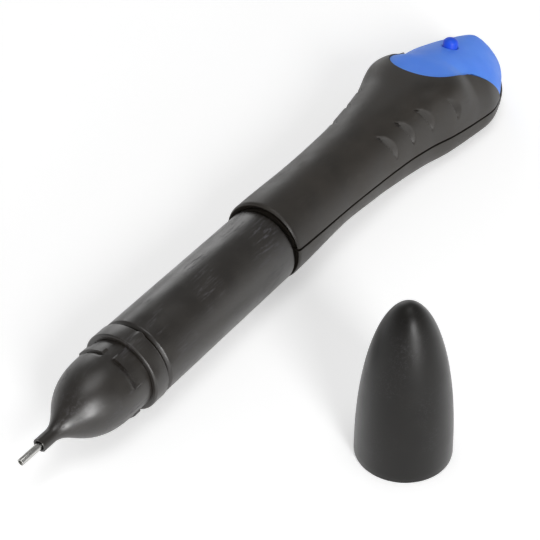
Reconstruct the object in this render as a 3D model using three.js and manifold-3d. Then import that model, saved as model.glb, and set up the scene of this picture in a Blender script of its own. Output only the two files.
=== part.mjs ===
// A glue pen for light-cured glue, lying on a table with its cap standing beside it.
//
// The pen lies along Y, with the needle towards -Y and the head towards +Y. Z is up and the table
// is Z = 0. Lengths are millimetres and angles are degrees. The origin is on the table, under the
// middle of the battery door.
//
// Inside the pen group, Y = 0 is the front rim of the handle and Z = 0 is the axis of the glue
// bottle.

import * as THREE from 'three';
import { mergeVertices } from 'three/addons/utils/BufferGeometryUtils.js';
import Module from 'manifold-3d';

const wasm = await Module();
wasm.setup();

// Smoothness of round pieces and of the moulded handle
const ROUND = 36;
const SMALL_ROUND = 16;
const LOFT_SIDES = 32;
const LOFT_STEP = 4;
const CURVE_STEPS = 6;
const WELD = 1e-5;
const ROUNDING_STEPS = 3;
const ROUNDING_TURN = 25;
const OVERCUT = 1;

// Clearances
const FIT_GAP = 0.1;
const SEAM_GAP = 0.3;
const DECK_GAP = 0.3;
const DOOR_GAP = 0.15;

// Glue bottle: a straight squeezable barrel, a neck in front and a spigot behind
const BOTTLE_RADIUS = 7.5;
const BOTTLE_WALL = 1.1;
const BOTTLE_LENGTH = 37.95;
const BOTTLE_EDGE = 0.4;
const BOTTLE_GAP = 0.35;
const NECK_RADIUS = 5.6;
const NECK_WALL = 1.3;
const NECK_REACH = 2.7;
const SPIGOT_RADIUS = 6.0;
const SPIGOT_WALL = 1.0;
const SPIGOT_LENGTH = 9.8;
const PLUG_DEPTH = 2.2;
const PLUG_FLANGE = 0.8;
const GLUE_AIR = 0.5;

// Collar ring between the bottle and the nozzle
const RING_RADIUS = 7.65;
const RING_LENGTH = 3.55;
const RING_GAP = 0.45;
const RING_EDGE = 0.25;

// Nozzle, its two pairs of cap lugs, and the seal on the end of the neck
const NOZZLE_RADIUS = 6.7;
const NOZZLE_LENGTH = 21;
const NOZZLE_SKIRT = 3.7;
const NOZZLE_TIP_RADIUS = 1.25;
const NOZZLE_TIP_LENGTH = 2.6;
const NOZZLE_WALL = 1.0;
const NOZZLE_SHOULDER_RADIUS = 4.4;
const NOZZLE_SHOULDER_BACK = 8.2;
const NOZZLE_TIP_BEND = 2.1;
const NOZZLE_SHOULDER_BEND_IN = [1.2, 1.8];
const NOZZLE_SHOULDER_BEND_OUT = [1.7, 2.6];
const NOZZLE_DOME_BEND = 4;
const LUG_HEIGHT = 0.25;
const LUG_WIDTH = 1.2;
const LUG_BACK = 2.3;
const LUG_SPAN = 56;
const LUG_FIRST = 20;
const LUG_PITCH = 72;
const SEAL_THICKNESS = 0.8;

// Steel needle
const NEEDLE_RADIUS = 0.635;
const NEEDLE_WALL = 0.215;
const NEEDLE_OUT = 4.6;
const NEEDLE_HELD = 5.4;

// Handle: half widths, tops and bottoms of the moulding, measured from the bottle's axis
const HANDLE_WALL = 1.5;
const HOOD_WALL = 1.2;
const FLOOR_WALL = 2.2;
const SOCKET_DEPTH = 11;
const LIP_OVERHANG = 0.65;
const LIP_DROP = 0.15;
const LIP_RISE = 1.35;
const LIP_LENGTH = 1.3;
const WAIST_AT = 18;
const WAIST_HALF_WIDTH = 7.85;
const WAIST_TOP = 8.4;
const WAIST_BOTTOM = 6.95;
const FLARE_AT = 30;
const FLARE_HALF_WIDTH = 8.0;
const FLARE_TOP = 8.6;
const THROAT_AT = 38;
const THROAT_HALF_WIDTH = 8.3;
const THROAT_TOP = 9.2;
const SHOULDER_BACK = 37.3;
const SHOULDER_HALF_WIDTH = 9.2;
const SHOULDER_TOP = 9.6;
const HOOD_BACK = 30.3;
const HOOD_HALF_WIDTH = 10.7;
const HOOD_TOP = 10.0;
const HOOD_SQUARENESS = 4.8;
const WIDEST_BACK = 17.3;
const WIDEST_HALF_WIDTH = 12.1;
const WIDEST_TOP = 9.5;
const CORNER_BACK = 10.3;
const CORNER_HALF_WIDTH = 10.5;
const TAIL_BACK = 4.3;
const TAIL_HALF_WIDTH = 7.5;
const TAIL_BOTTOM = 7.0;
const HANDLE_LENGTH = 83.3;
const END_HALF_WIDTH = 4.2;
const END_BOTTOM = 5.4;
const END_ROUNDING = 1.6;
const BASE_SINK = 0.45;

// Where the two shells part, and the curved edge of the hood over the blue cover
const SEAM_FRONT = 2.0;
const SEAM_REAR = -3.7;
const HOOD_EDGE_BACK = 30.7;
const HOOD_EDGE_END_BACK = 11.3;
const HOOD_BEND_FIRST = [18.8, 6.4];
const HOOD_BEND_SECOND = [13.8, 3.0];
const MOUTH_HALF_WIDTH = 7.65;
const MOUTH_END_BACK = 24.3;
const MOUTH_END_HEIGHT = 8.5;
const MOUTH_FRONT_BEND = 4.2;
const MOUTH_SIDE_BEND = 4.8;
const SIDE_CUT_REACH = 5;

// Grip grooves on both sides of the head
const GRIP_COUNT = 4;
const GRIP_FIRST = 33;
const GRIP_PITCH = 6.2;
const GRIP_HEIGHT = 5.0;
const GRIP_LENGTH = 4.6;
const GRIP_WIDTH = 1.3;
const GRIP_DEPTH = 0.5;
const GRIP_LEAN = 25;

// Blue cover: a domed shell that comes out from under the hood
const COVER_WALL = 1.5;
const COVER_FLANGE = 1.7;
const COVER_FLANGE_WALL = 1.2;
const COVER_FRONT_HALF_WIDTH = 10.4;
const COVER_FRONT_TOP = 9.85;
const COVER_FRONT_SQUARENESS = 4.8;
const COVER_MIDDLE_BACK = 21.3;
const COVER_MIDDLE_HALF_WIDTH = 10.8;
const COVER_MIDDLE_TOP = 9.2;
const COVER_CREST_BACK = 12.3;
const COVER_CREST_HALF_WIDTH = 9.5;
const COVER_CREST_TOP = 7.3;
const COVER_TAIL_BACK = 4.8;
const COVER_TAIL_HALF_WIDTH = 7.1;
const COVER_TAIL_TOP = 5.7;
const COVER_END_INSET = 0.2;
const COVER_END_HALF_WIDTH = 5.0;
const COVER_END_TOP = 2.2;
const COVER_END_ROUNDING = 1.1;

// Push button, switch and circuit board, which lean back with the cover
const BUTTON_BACK = 14.5;
const BUTTON_SURFACE = 7.9;
const BUTTON_LEAN = 16;
const BUTTON_RADIUS = 1.6;
const BUTTON_STANDS_OUT = 1.9;
const BUTTON_CROWN = 1.2;
const BUTTON_CLEARANCE = 0.2;
const BUTTON_FLANGE_RADIUS = 2.6;
const BUTTON_FLANGE_DEPTH = 2.0;
const BUTTON_FLANGE_THICKNESS = 0.8;
const PLUNGER_RADIUS = 1.5;
const PLUNGER_STANDS_OUT = 1.0;
const PLUNGER_SUNK = 0.4;
const PLUNGER_TRAVEL = 0.6;
const SWITCH_SIDE = 6;
const SWITCH_HEIGHT = 2.6;
const BOARD_THICKNESS = 1.0;
const BOARD_HALF_WIDTH = 7.2;
const BOARD_FRONT = 12.5;
const BOARD_BACK = 4.5;
const RESISTOR_SIZE = [1.6, 3.2, 0.6];
const RESISTOR_PLACE = [5, -5.5];

// Lamp at the tail of the board
const LED_RADIUS = 2.5;
const LED_FLANGE_RADIUS = 2.9;
const LED_FLANGE = 1.0;
const LED_LENGTH = 7.6;
const LED_BACK = 5.0;
const LED_LIFT = 0.8;
const LEAD_SPREAD = 1.27;
const LEAD_THICKNESS = 0.5;

// Button cells, their holder and contacts
const CELL_RADIUS = 6.25;
const CELL_HEIGHT = 2.0;
const CELL_COUNT = 2;
const CELL_BACK = 20.3;
const HOLDER_WALL = 0.95;
const HOLDER_CLEARANCE = 0.4;
const HOLDER_ROOF = 1.1;
const POST_RADIUS = 1.1;
const POST_SPREAD = 5.2;
const FRONT_POST_BACK = 26.1;
const REAR_POST_BACK = 14.9;
const CONTACT_THICKNESS = 0.25;
const CONTACT_WIDTH = 4;
const CONTACT_REACH = 9;
const SIDE_CONTACT_WIDTH = 2;

// Battery door in the flat base of the head
const DOOR_WIDTH = 14;
const DOOR_LENGTH = 20.6;
const DOOR_THICKNESS = 1.2;
const DOOR_CORNER = 2;
const DOOR_BACK = 22.4;
const DOOR_SCREW_BACK = 30.6;
const DOOR_SCREW_HEAD = 0.7;
const DOOR_SCREW_LENGTH = 5;

// Screws that join the shells from below
const SCREW_RADIUS = 0.9;
const SCREW_HEAD_RADIUS = 1.8;
const SCREW_HEAD = 1.2;
const SCREW_LENGTH = 7;
const SCREW_SINK = 2.9;
const SCREW_SEAT = 1.5;
const BOSS_WALL = 1.5;
const RECESS_WIDTH = 0.5;
const RECESS_DEPTH = 0.45;
const FRONT_SCREW_AT = 20;
const SIDE_SCREW_BACK = 36.8;
const SIDE_SCREW_SPREAD = 5.6;

// Cap, standing on its rim beside the pen
const CAP_PLACE = [45.05, -24.7];
const CAP_RADIUS = 8.2;
const CAP_HEIGHT = 31;
const CAP_FULLNESS = 2.15;
const CAP_WALL = 1.2;
const CAP_MOUTH_DEPTH = 4.6;
const CAP_MOUTH_CLEARANCE = 0.15;
const CAP_SEAL_RADIUS = 2.9;
const CAP_SEAL_BACK = 8.8;
const CAP_SEAL_LENGTH = 5.1;
const CAP_SEAL_BORE = 0.8;
const CAP_SEAL_BORE_DEPTH = 4.4;
const CAP_STEPS = 12;

// Places that follow from the sizes; those in the head are measured forward from the tail
const fromTail = (distance) => HANDLE_LENGTH - distance;
const shoulderAt = fromTail(SHOULDER_BACK);
const hoodAt = fromTail(HOOD_BACK);
const widestAt = fromTail(WIDEST_BACK);
const cornerAt = fromTail(CORNER_BACK);
const tailAt = fromTail(TAIL_BACK);
const hoodEdgeAt = fromTail(HOOD_EDGE_BACK);
const hoodEdgeEnd = fromTail(HOOD_EDGE_END_BACK);
const mouthEnd = fromTail(MOUTH_END_BACK);
const coverMiddleAt = fromTail(COVER_MIDDLE_BACK);
const coverCrestAt = fromTail(COVER_CREST_BACK);
const coverTailAt = fromTail(COVER_TAIL_BACK);
const buttonAt = fromTail(BUTTON_BACK);
const cellAt = fromTail(CELL_BACK);
const frontPostAt = fromTail(FRONT_POST_BACK);
const rearPostAt = fromTail(REAR_POST_BACK);
const doorAt = fromTail(DOOR_BACK);
const doorScrewAt = fromTail(DOOR_SCREW_BACK);
const sideScrewAt = fromTail(SIDE_SCREW_BACK);
const axisHeight = RING_RADIUS;
const baseBottom = axisHeight + BASE_SINK;
const bottleRear = -BOTTLE_GAP;
const bottleFront = bottleRear - BOTTLE_LENGTH;
const ringRear = bottleFront - RING_GAP;
const ringFront = ringRear - RING_LENGTH;
const neckFront = ringFront - NECK_REACH;
const sealFront = neckFront - SEAL_THICKNESS;
const nozzleTip = ringFront - NOZZLE_LENGTH;
const spigotRear = bottleRear + SPIGOT_LENGTH;
const boardTop = -(BUTTON_FLANGE_DEPTH + BUTTON_FLANGE_THICKNESS + DECK_GAP
  + PLUNGER_STANDS_OUT + SWITCH_HEIGHT + DECK_GAP);
const switchTop = boardTop + DECK_GAP + SWITCH_HEIGHT;
const floorHeight = -baseBottom + FLOOR_WALL;
const doorTop = -axisHeight + DOOR_THICKNESS;
const cellBottom = doorTop + FIT_GAP;
const cellTop = cellBottom + CELL_COUNT * CELL_HEIGHT;
const roofBottom = cellTop + CONTACT_THICKNESS;
const roofTop = roofBottom + HOLDER_ROOF;
const holderBore = CELL_RADIUS + HOLDER_CLEARANCE;
const capSealFrom = CAP_HEIGHT - CAP_SEAL_BACK;

const black = plastic(0x3f3d3b, 0.5);
const bottleBlack = plastic(0x454240, 0.42);
const blue = plastic(0x4d78d8, 0.4);
const deepBlue = plastic(0x143fb4, 0.35);
const white = plastic(0xe8e6df, 0.6);
const boardGreen = plastic(0x1d5f3a, 0.55);
const clearGlue = plastic(0xe6e2c8, 0.15);
const lampClear = plastic(0xc9c4ee, 0.1);
const softSeal = plastic(0xb9b7b0, 0.8);
const steel = metal(0xc8c8c6, 0.25);
const nickel = metal(0xb4b2ac, 0.35);
const screwSteel = metal(0x8f8f90, 0.4);

function plastic(color, roughness) {
  return new THREE.MeshStandardMaterial({ color, roughness, metalness: 0 });
}

function metal(color, roughness) {
  return new THREE.MeshStandardMaterial({ color, roughness, metalness: 1 });
}

// A copy of a geometry with only shared positions, and without triangles of no area
function weld(source) {
  const bare = source.clone();
  bare.deleteAttribute('normal');
  bare.deleteAttribute('uv');
  const merged = mergeVertices(bare, WELD);
  const corners = merged.index.array;
  const kept = [];
  for (let i = 0; i < corners.length; i += 3) {
    const [a, b, c] = corners.slice(i, i + 3);
    if (a !== b && b !== c && c !== a) {
      kept.push(a, b, c);
    }
  }
  merged.setIndex(kept);
  return merged;
}

function solid(source) {
  const welded = weld(source);
  const body = new wasm.Manifold(new wasm.Mesh({
    numProp: 3,
    vertProperties: new Float32Array(welded.attributes.position.array),
    triVerts: new Uint32Array(welded.index.array),
  }));
  return body;
}

function join(...bodies) {
  return bodies.reduce((whole, body) => whole.add(body));
}

function cut(body, ...tools) {
  return tools.reduce((rest, tool) => rest.subtract(tool), body);
}

function geometryOf(body) {
  const { vertProperties, triVerts } = body.getMesh();
  const geometry = new THREE.BufferGeometry();
  geometry.setAttribute('position', new THREE.BufferAttribute(vertProperties, 3));
  geometry.setIndex([...triVerts]);
  geometry.computeVertexNormals();
  return geometry;
}

function piece(name, shape, material) {
  const geometry = shape.isBufferGeometry ? shape : geometryOf(shape);
  const mesh = new THREE.Mesh(geometry, material);
  mesh.name = name;
  return mesh;
}

// A body turned about Y from points of radius and place, drawn from the front to the back outside
function turned(points, sides = ROUND) {
  return solid(new THREE.LatheGeometry(points.map(([r, y]) => new THREE.Vector2(r, y)), sides));
}

// A round bar along Y, between two places
function bar(radius, from, to, sides = ROUND) {
  const geometry = new THREE.CylinderGeometry(radius, radius, to - from, sides);
  geometry.translate(0, (from + to) / 2, 0);
  return solid(geometry);
}

// An upright round bar, between two heights
function post(radius, x, y, low, high, sides = SMALL_ROUND) {
  const geometry = new THREE.CylinderGeometry(radius, radius, high - low, sides);
  geometry.rotateX(Math.PI / 2);
  geometry.translate(x, y, (low + high) / 2);
  return solid(geometry);
}

function block(low, high) {
  const size = high.map((value, i) => value - low[i]);
  const geometry = new THREE.BoxGeometry(...size);
  geometry.translate(...low.map((value, i) => value + size[i] / 2));
  return solid(geometry);
}

// A rectangle with round corners, upright between two heights
function slab(width, length, corner, y, low, high) {
  const [w, l, r] = [width / 2, length / 2, corner];
  const shape = new THREE.Shape();
  shape.moveTo(-w + r, -l);
  shape.lineTo(w - r, -l);
  shape.absarc(w - r, -l + r, r, -Math.PI / 2, 0);
  shape.absarc(w - r, l - r, r, 0, Math.PI / 2);
  shape.absarc(-w + r, l - r, r, Math.PI / 2, Math.PI);
  shape.absarc(-w + r, -l + r, r, Math.PI, Math.PI * 1.5);
  const geometry = new THREE.ExtrudeGeometry(shape, {
    depth: high - low,
    bevelEnabled: false,
    curveSegments: CURVE_STEPS,
  });
  geometry.translate(0, y, low);
  return solid(geometry);
}

// A shape drawn in side view, with the pen's length across and height up, made as wide as the pen
function sideCut(shape) {
  const width = 4 * WIDEST_HALF_WIDTH;
  const geometry = new THREE.ExtrudeGeometry(shape, {
    depth: width,
    bevelEnabled: false,
    curveSegments: 3 * CURVE_STEPS,
  });
  geometry.translate(0, 0, -width / 2);
  const [x, y, z] = [[1, 0, 0], [0, 1, 0], [0, 0, 1]].map((axis) => new THREE.Vector3(...axis));
  geometry.applyMatrix4(new THREE.Matrix4().makeBasis(y, z, x));
  return solid(geometry);
}

// Smooth value between stations, without overshoot: a cubic with limited slopes
function smoothValue(stations, key, at) {
  const last = stations.length - 1;
  if (at <= stations[0].at) {
    return stations[0][key];
  }
  if (at >= stations[last].at) {
    return stations[last][key];
  }
  const gap = (i) => stations[i + 1].at - stations[i].at;
  const chord = (i) => (stations[i + 1][key] - stations[i][key]) / gap(i);
  const slope = (i) => {
    if (i === 0 || i === last) {
      return chord(Math.min(i, last - 1));
    }
    const [before, after] = [chord(i - 1), chord(i)];
    return before * after <= 0 ? 0 : (2 * before * after) / (before + after);
  };
  const i = stations.findIndex((station, k) => k < last && at < stations[k + 1].at);
  const span = gap(i);
  const t = (at - stations[i].at) / span;
  const [t2, t3] = [t * t, t * t * t];
  return (2 * t3 - 3 * t2 + 1) * stations[i][key] + (t3 - 2 * t2 + t) * span * slope(i)
    + (3 * t2 - 2 * t3) * stations[i + 1][key] + (t3 - t2) * span * slope(i + 1);
}

// One cross section of a moulding: flatter or rounder above and below its widest level
function sectionPoints(stations, at, inset) {
  const value = (key) => smoothValue(stations, key, at);
  const halfWidth = value('halfWidth') - inset.side;
  const level = value('level');
  const rise = value('top') - inset.top - level;
  const drop = value('bottom') - inset.bottom + level;
  const points = [];
  for (let k = 0; k < LOFT_SIDES; k += 1) {
    const turn = (2 * Math.PI * k) / LOFT_SIDES;
    const [across, up] = [Math.cos(turn), Math.sin(turn)];
    const power = 2 / value(up >= 0 ? 'squareAbove' : 'squareBelow');
    const height = Math.abs(up) ** power;
    const x = halfWidth * Math.sign(across) * Math.abs(across) ** power;
    points.push([x, at, level + (up >= 0 ? rise * height : -drop * height)]);
  }
  return points;
}

// A closed body through the cross sections between two places, with a rounded far end
function moulding(stations, from, to, inset = { side: 0, top: 0, bottom: 0 }, rounding = 0) {
  const straight = to - rounding;
  const count = Math.max(2, Math.round((straight - from) / LOFT_STEP));
  const places = [];
  for (let i = 0; i <= count; i += 1) {
    places.push({ at: from + ((straight - from) * i) / count, shrink: 0 });
  }
  for (let i = 1; rounding > 0 && i <= ROUNDING_STEPS; i += 1) {
    const turn = THREE.MathUtils.degToRad(i * ROUNDING_TURN);
    places.push({
      at: straight + rounding * Math.sin(turn),
      shrink: rounding * (1 - Math.cos(turn)),
    });
  }
  const rings = places.map(({ at, shrink }) => sectionPoints(stations, at, {
    side: inset.side + shrink,
    top: inset.top + shrink,
    bottom: inset.bottom + shrink,
  }));
  const middle = (ring) => [0, ring[0][1], ring[0][2]];
  const points = [...rings.flat(), middle(rings[0]), middle(rings.at(-1))];
  const [front, back] = [points.length - 2, points.length - 1];
  const corners = [];
  const corner = (ring, k) => ring * LOFT_SIDES + (k % LOFT_SIDES);
  for (let k = 0; k < LOFT_SIDES; k += 1) {
    for (let ring = 0; ring < rings.length - 1; ring += 1) {
      corners.push(corner(ring, k), corner(ring + 1, k), corner(ring, k + 1));
      corners.push(corner(ring, k + 1), corner(ring + 1, k), corner(ring + 1, k + 1));
    }
    corners.push(front, corner(0, k), corner(0, k + 1));
    corners.push(back, corner(rings.length - 1, k + 1), corner(rings.length - 1, k));
  }
  const geometry = new THREE.BufferGeometry();
  geometry.setAttribute('position', new THREE.Float32BufferAttribute(points.flat(), 3));
  geometry.setIndex(corners);
  return solid(geometry);
}

function handleStations() {
  const head = { squareAbove: 1.85, squareBelow: 3.6 };
  return [
    { at: 0, halfWidth: BOTTLE_RADIUS + FIT_GAP, top: BOTTLE_RADIUS + 2 * FIT_GAP,
      bottom: BOTTLE_RADIUS - 2 * LIP_DROP, level: 0.3, squareAbove: 2, squareBelow: 2 },
    { at: LIP_LENGTH, halfWidth: BOTTLE_RADIUS + LIP_OVERHANG, top: BOTTLE_RADIUS + LIP_RISE,
      bottom: BOTTLE_RADIUS - LIP_DROP, level: 0.6, squareAbove: 2, squareBelow: 2 },
    { at: WAIST_AT, halfWidth: WAIST_HALF_WIDTH, top: WAIST_TOP, bottom: WAIST_BOTTOM,
      level: 0.9, squareAbove: 2, squareBelow: 2 },
    { at: FLARE_AT, halfWidth: FLARE_HALF_WIDTH, top: FLARE_TOP, bottom: WAIST_BOTTOM + 0.1,
      level: 0.4, squareAbove: 2.15, squareBelow: 2.4 },
    { at: THROAT_AT, halfWidth: THROAT_HALF_WIDTH, top: THROAT_TOP, bottom: axisHeight - 0.1,
      level: -0.2, squareAbove: 2.6, squareBelow: 2.7 },
    { at: shoulderAt, halfWidth: SHOULDER_HALF_WIDTH, top: SHOULDER_TOP, bottom: baseBottom - 0.2,
      level: -0.8, squareAbove: 3.2, squareBelow: 3 },
    { at: hoodAt, halfWidth: HOOD_HALF_WIDTH, top: HOOD_TOP, bottom: baseBottom,
      level: -1.3, squareAbove: HOOD_SQUARENESS, squareBelow: 3.3 },
    { at: coverMiddleAt, halfWidth: (HOOD_HALF_WIDTH + WIDEST_HALF_WIDTH) / 2 + 0.4, top: HOOD_TOP,
      bottom: baseBottom, level: -1.9, squareAbove: 2, squareBelow: 3.5 },
    { at: widestAt, halfWidth: WIDEST_HALF_WIDTH, top: WIDEST_TOP, bottom: baseBottom,
      level: -2.2, ...head },
    { at: cornerAt, halfWidth: CORNER_HALF_WIDTH, top: WIDEST_TOP - 1, bottom: baseBottom,
      level: -2.5, ...head },
    { at: tailAt, halfWidth: TAIL_HALF_WIDTH, top: WIDEST_TOP - 2, bottom: TAIL_BOTTOM,
      level: -2.5, squareAbove: 2, squareBelow: 3 },
    { at: HANDLE_LENGTH, halfWidth: END_HALF_WIDTH, top: WIDEST_TOP - 3, bottom: END_BOTTOM,
      level: -2.5, squareAbove: 2, squareBelow: 2.4 },
  ];
}

function coverStations() {
  const dome = { squareAbove: 2, squareBelow: 3 };
  const end = HANDLE_LENGTH - COVER_END_INSET;
  return [
    { at: hoodAt, halfWidth: COVER_FRONT_HALF_WIDTH, top: COVER_FRONT_TOP, bottom: 5,
      level: -1, squareAbove: COVER_FRONT_SQUARENESS, squareBelow: 3 },
    { at: coverMiddleAt, halfWidth: COVER_MIDDLE_HALF_WIDTH, top: COVER_MIDDLE_TOP, bottom: 6.4,
      level: -1, ...dome },
    { at: coverCrestAt, halfWidth: COVER_CREST_HALF_WIDTH, top: COVER_CREST_TOP, bottom: 6.5,
      level: -2, ...dome },
    { at: coverTailAt, halfWidth: COVER_TAIL_HALF_WIDTH, top: COVER_TAIL_TOP, bottom: 6,
      level: -2.5, squareAbove: 1.55, squareBelow: 3 },
    { at: end, halfWidth: COVER_END_HALF_WIDTH, top: COVER_END_TOP, bottom: 5,
      level: -2.5, squareAbove: 1.4, squareBelow: 3 },
  ];
}

// Height of the parting line at a place along the handle
function seamHeight(at) {
  return SEAM_FRONT + ((SEAM_REAR - SEAM_FRONT) * at) / HANDLE_LENGTH;
}

// Everything above the parting line, or below it, in side view
function seamSide(above, offset) {
  const [front, back] = [-SIDE_CUT_REACH, HANDLE_LENGTH + SIDE_CUT_REACH];
  const far = above ? 4 * axisHeight : -4 * axisHeight;
  const shape = new THREE.Shape();
  shape.moveTo(front, seamHeight(front) + offset);
  shape.lineTo(back, seamHeight(back) + offset);
  shape.lineTo(back, far);
  shape.lineTo(front, far);
  return sideCut(shape);
}

// The hood's opening: a round mouth seen from above, and all that is behind its sides' edge.
// A margin draws it in all round, and a negative one widens it
function hoodOpening(margin) {
  const back = HANDLE_LENGTH + SIDE_CUT_REACH;
  const far = 4 * axisHeight;
  const [bendFirst, bendSecond] = [HOOD_BEND_FIRST, HOOD_BEND_SECOND].map(
    ([distance, height]) => [fromTail(distance), height]);
  const side = new THREE.Shape();
  side.moveTo(mouthEnd, far);
  side.lineTo(mouthEnd, MOUTH_END_HEIGHT);
  side.bezierCurveTo(...bendFirst, ...bendSecond, hoodEdgeEnd, seamHeight(hoodEdgeEnd));
  side.lineTo(back, seamHeight(back));
  side.lineTo(back, far);
  const [half, front] = [MOUTH_HALF_WIDTH - margin, hoodEdgeAt + margin];
  const bend = mouthEnd - MOUTH_SIDE_BEND + margin;
  const mouth = new THREE.Shape();
  mouth.moveTo(half, back);
  mouth.lineTo(-half, back);
  mouth.lineTo(-half, mouthEnd);
  mouth.bezierCurveTo(-half, bend, -MOUTH_FRONT_BEND, front, 0, front);
  mouth.bezierCurveTo(MOUTH_FRONT_BEND, front, half, bend, half, mouthEnd);
  const upright = new THREE.ExtrudeGeometry(mouth, {
    depth: far,
    bevelEnabled: false,
    curveSegments: 3 * CURVE_STEPS,
  });
  return join(sideCut(side).translate(0, margin, margin), solid(upright));
}

// The handle's hollow behind the bottle's socket, drawn in by an extra amount
function handleHollow(extra, extraBelow = extra) {
  const stations = handleStations();
  const side = HANDLE_WALL + extra;
  const inset = { side, top: side, bottom: HANDLE_WALL + extraBelow };
  const head = { side, top: HOOD_WALL + extra, bottom: FLOOR_WALL + extraBelow };
  const rear = HANDLE_LENGTH - HANDLE_WALL - extra;
  const waist = moulding(stations, SOCKET_DEPTH + OVERCUT, THROAT_AT, inset);
  return join(waist, moulding(stations, THROAT_AT - OVERCUT, rear, head, END_ROUNDING));
}

const shellScrews = [
  { name: 'shell_screw_front', x: 0, y: FRONT_SCREW_AT, base: -WAIST_BOTTOM },
  { name: 'shell_screw_left', x: -SIDE_SCREW_SPREAD, y: sideScrewAt, base: -axisHeight },
  { name: 'shell_screw_right', x: SIDE_SCREW_SPREAD, y: sideScrewAt, base: -axisHeight },
];

// Heights at one shell screw: its head's seat, and the joint between the two bosses
function screwSeat({ base }) {
  return base + SCREW_SINK;
}

function bossJoint(screw) {
  return screwSeat(screw) + SCREW_SEAT;
}

function handleSkin() {
  const stations = handleStations();
  const outside = moulding(stations, 0, HANDLE_LENGTH, undefined, END_ROUNDING);
  const reach = 5 * WIDEST_HALF_WIDTH;
  const table = block([-reach, -reach, -reach], [reach, 2 * reach, -axisHeight]);
  return cut(outside, table);
}

function socketBore() {
  return bar(SPIGOT_RADIUS + FIT_GAP, -OVERCUT, SOCKET_DEPTH + 2 * OVERCUT);
}

function gripGrooves() {
  const stations = handleStations();
  const depth = { side: GRIP_DEPTH, top: GRIP_DEPTH, bottom: GRIP_DEPTH };
  const core = moulding(stations, FLARE_AT - 4, widestAt, depth);
  const lean = THREE.MathUtils.degToRad(GRIP_LEAN);
  const grooves = [];
  for (let i = 0; i < GRIP_COUNT; i += 1) {
    const strip = new THREE.BoxGeometry(4 * WIDEST_HALF_WIDTH, GRIP_WIDTH, GRIP_LENGTH);
    strip.rotateX(lean);
    strip.translate(0, GRIP_FIRST + i * GRIP_PITCH, GRIP_HEIGHT);
    grooves.push(solid(strip));
  }
  return cut(join(...grooves), core);
}

function upperShell() {
  const skin = handleSkin();
  const hollow = handleHollow(0);
  const bosses = shellScrews.map((screw) => post(
    SCREW_RADIUS + BOSS_WALL, screw.x, screw.y, bossJoint(screw) + FIT_GAP, 2 * axisHeight));
  const pilots = shellScrews.map((screw) => post(SCREW_RADIUS + FIT_GAP, screw.x, screw.y,
    bossJoint(screw) - OVERCUT, screwSeat(screw) + SCREW_LENGTH + OVERCUT));
  const half = skin.intersect(seamSide(true, SEAM_GAP / 2));
  const walls = cut(half, hollow, socketBore(), gripGrooves());
  const inside = handleHollow(-GRIP_DEPTH).intersect(seamSide(true, SEAM_GAP));
  const rooted = join(...bosses).intersect(inside);
  const hanging = join(...bosses).intersect(handleHollow(SEAM_GAP));
  return cut(join(walls, rooted, hanging), hoodOpening(0), ...pilots);
}

function doorOpening() {
  const seat = slab(DOOR_WIDTH + 2 * DOOR_GAP, DOOR_LENGTH + 2 * DOOR_GAP, DOOR_CORNER, doorAt,
    -baseBottom - OVERCUT, doorTop);
  const way = holderBore + DOOR_GAP;
  const well = post(way, 0, cellAt, -baseBottom, floorHeight + OVERCUT, ROUND);
  return join(seat, well);
}

function lowerShell() {
  const skin = handleSkin();
  const hollow = handleHollow(0);
  const inside = handleHollow(-GRIP_DEPTH);
  const bosses = shellScrews.map((screw) => post(
    SCREW_HEAD_RADIUS + BOSS_WALL, screw.x, screw.y, -baseBottom, bossJoint(screw)));
  const sinks = shellScrews.map((screw) => post(
    SCREW_HEAD_RADIUS + DOOR_GAP, screw.x, screw.y, -baseBottom - OVERCUT, screwSeat(screw)));
  const holes = shellScrews.map((screw) => post(
    SCREW_RADIUS + FIT_GAP, screw.x, screw.y, -baseBottom, bossJoint(screw) + OVERCUT));
  const doorBoss = post(SCREW_HEAD_RADIUS + DOOR_GAP, 0, doorScrewAt, doorTop,
    -axisHeight + DOOR_SCREW_LENGTH + OVERCUT);
  const doorPilot = post(SCREW_RADIUS + FIT_GAP, 0, doorScrewAt, -baseBottom,
    -axisHeight + DOOR_SCREW_LENGTH + FIT_GAP);
  const walls = cut(skin.intersect(seamSide(false, -SEAM_GAP / 2)), hollow, socketBore());
  const held = join(...bosses, doorBoss).intersect(inside);
  return cut(join(walls, held), doorOpening(), doorPilot, ...sinks, ...holes);
}

function endCover() {
  const stations = coverStations();
  const [from, to] = [hoodAt - 6, HANDLE_LENGTH - COVER_END_INSET];
  const wall = { side: COVER_WALL, top: COVER_WALL, bottom: COVER_WALL };
  const dome = moulding(stations, from, to, undefined, COVER_END_ROUNDING);
  const domeHollow = moulding(stations, from - OVERCUT, to - COVER_WALL, wall, COVER_END_ROUNDING);
  const outside = dome.intersect(hoodOpening(SEAM_GAP));
  const under = handleHollow(SEAM_GAP).intersect(hoodOpening(-COVER_FLANGE));
  const tucked = dome.intersect(under);
  const flangeInset = HANDLE_WALL + SEAM_GAP + COVER_FLANGE_WALL;
  const flangeHollow = moulding(handleStations(), from - OVERCUT, HANDLE_LENGTH - flangeInset,
    { side: flangeInset, top: 0, bottom: FLOOR_WALL }, END_ROUNDING);
  const flange = cut(join(tucked, outside), hoodOpening(COVER_FLANGE),
    domeHollow.intersect(flangeHollow));
  return cut(join(cut(outside, domeHollow), flange), buttonHole());
}

// The frame that the button, switch and board share, square to the cover under the button
function deckGroup() {
  const deck = new THREE.Group();
  deck.position.set(0, buttonAt, BUTTON_SURFACE);
  deck.rotation.x = -THREE.MathUtils.degToRad(BUTTON_LEAN);
  deck.updateMatrix();
  return deck;
}

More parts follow.
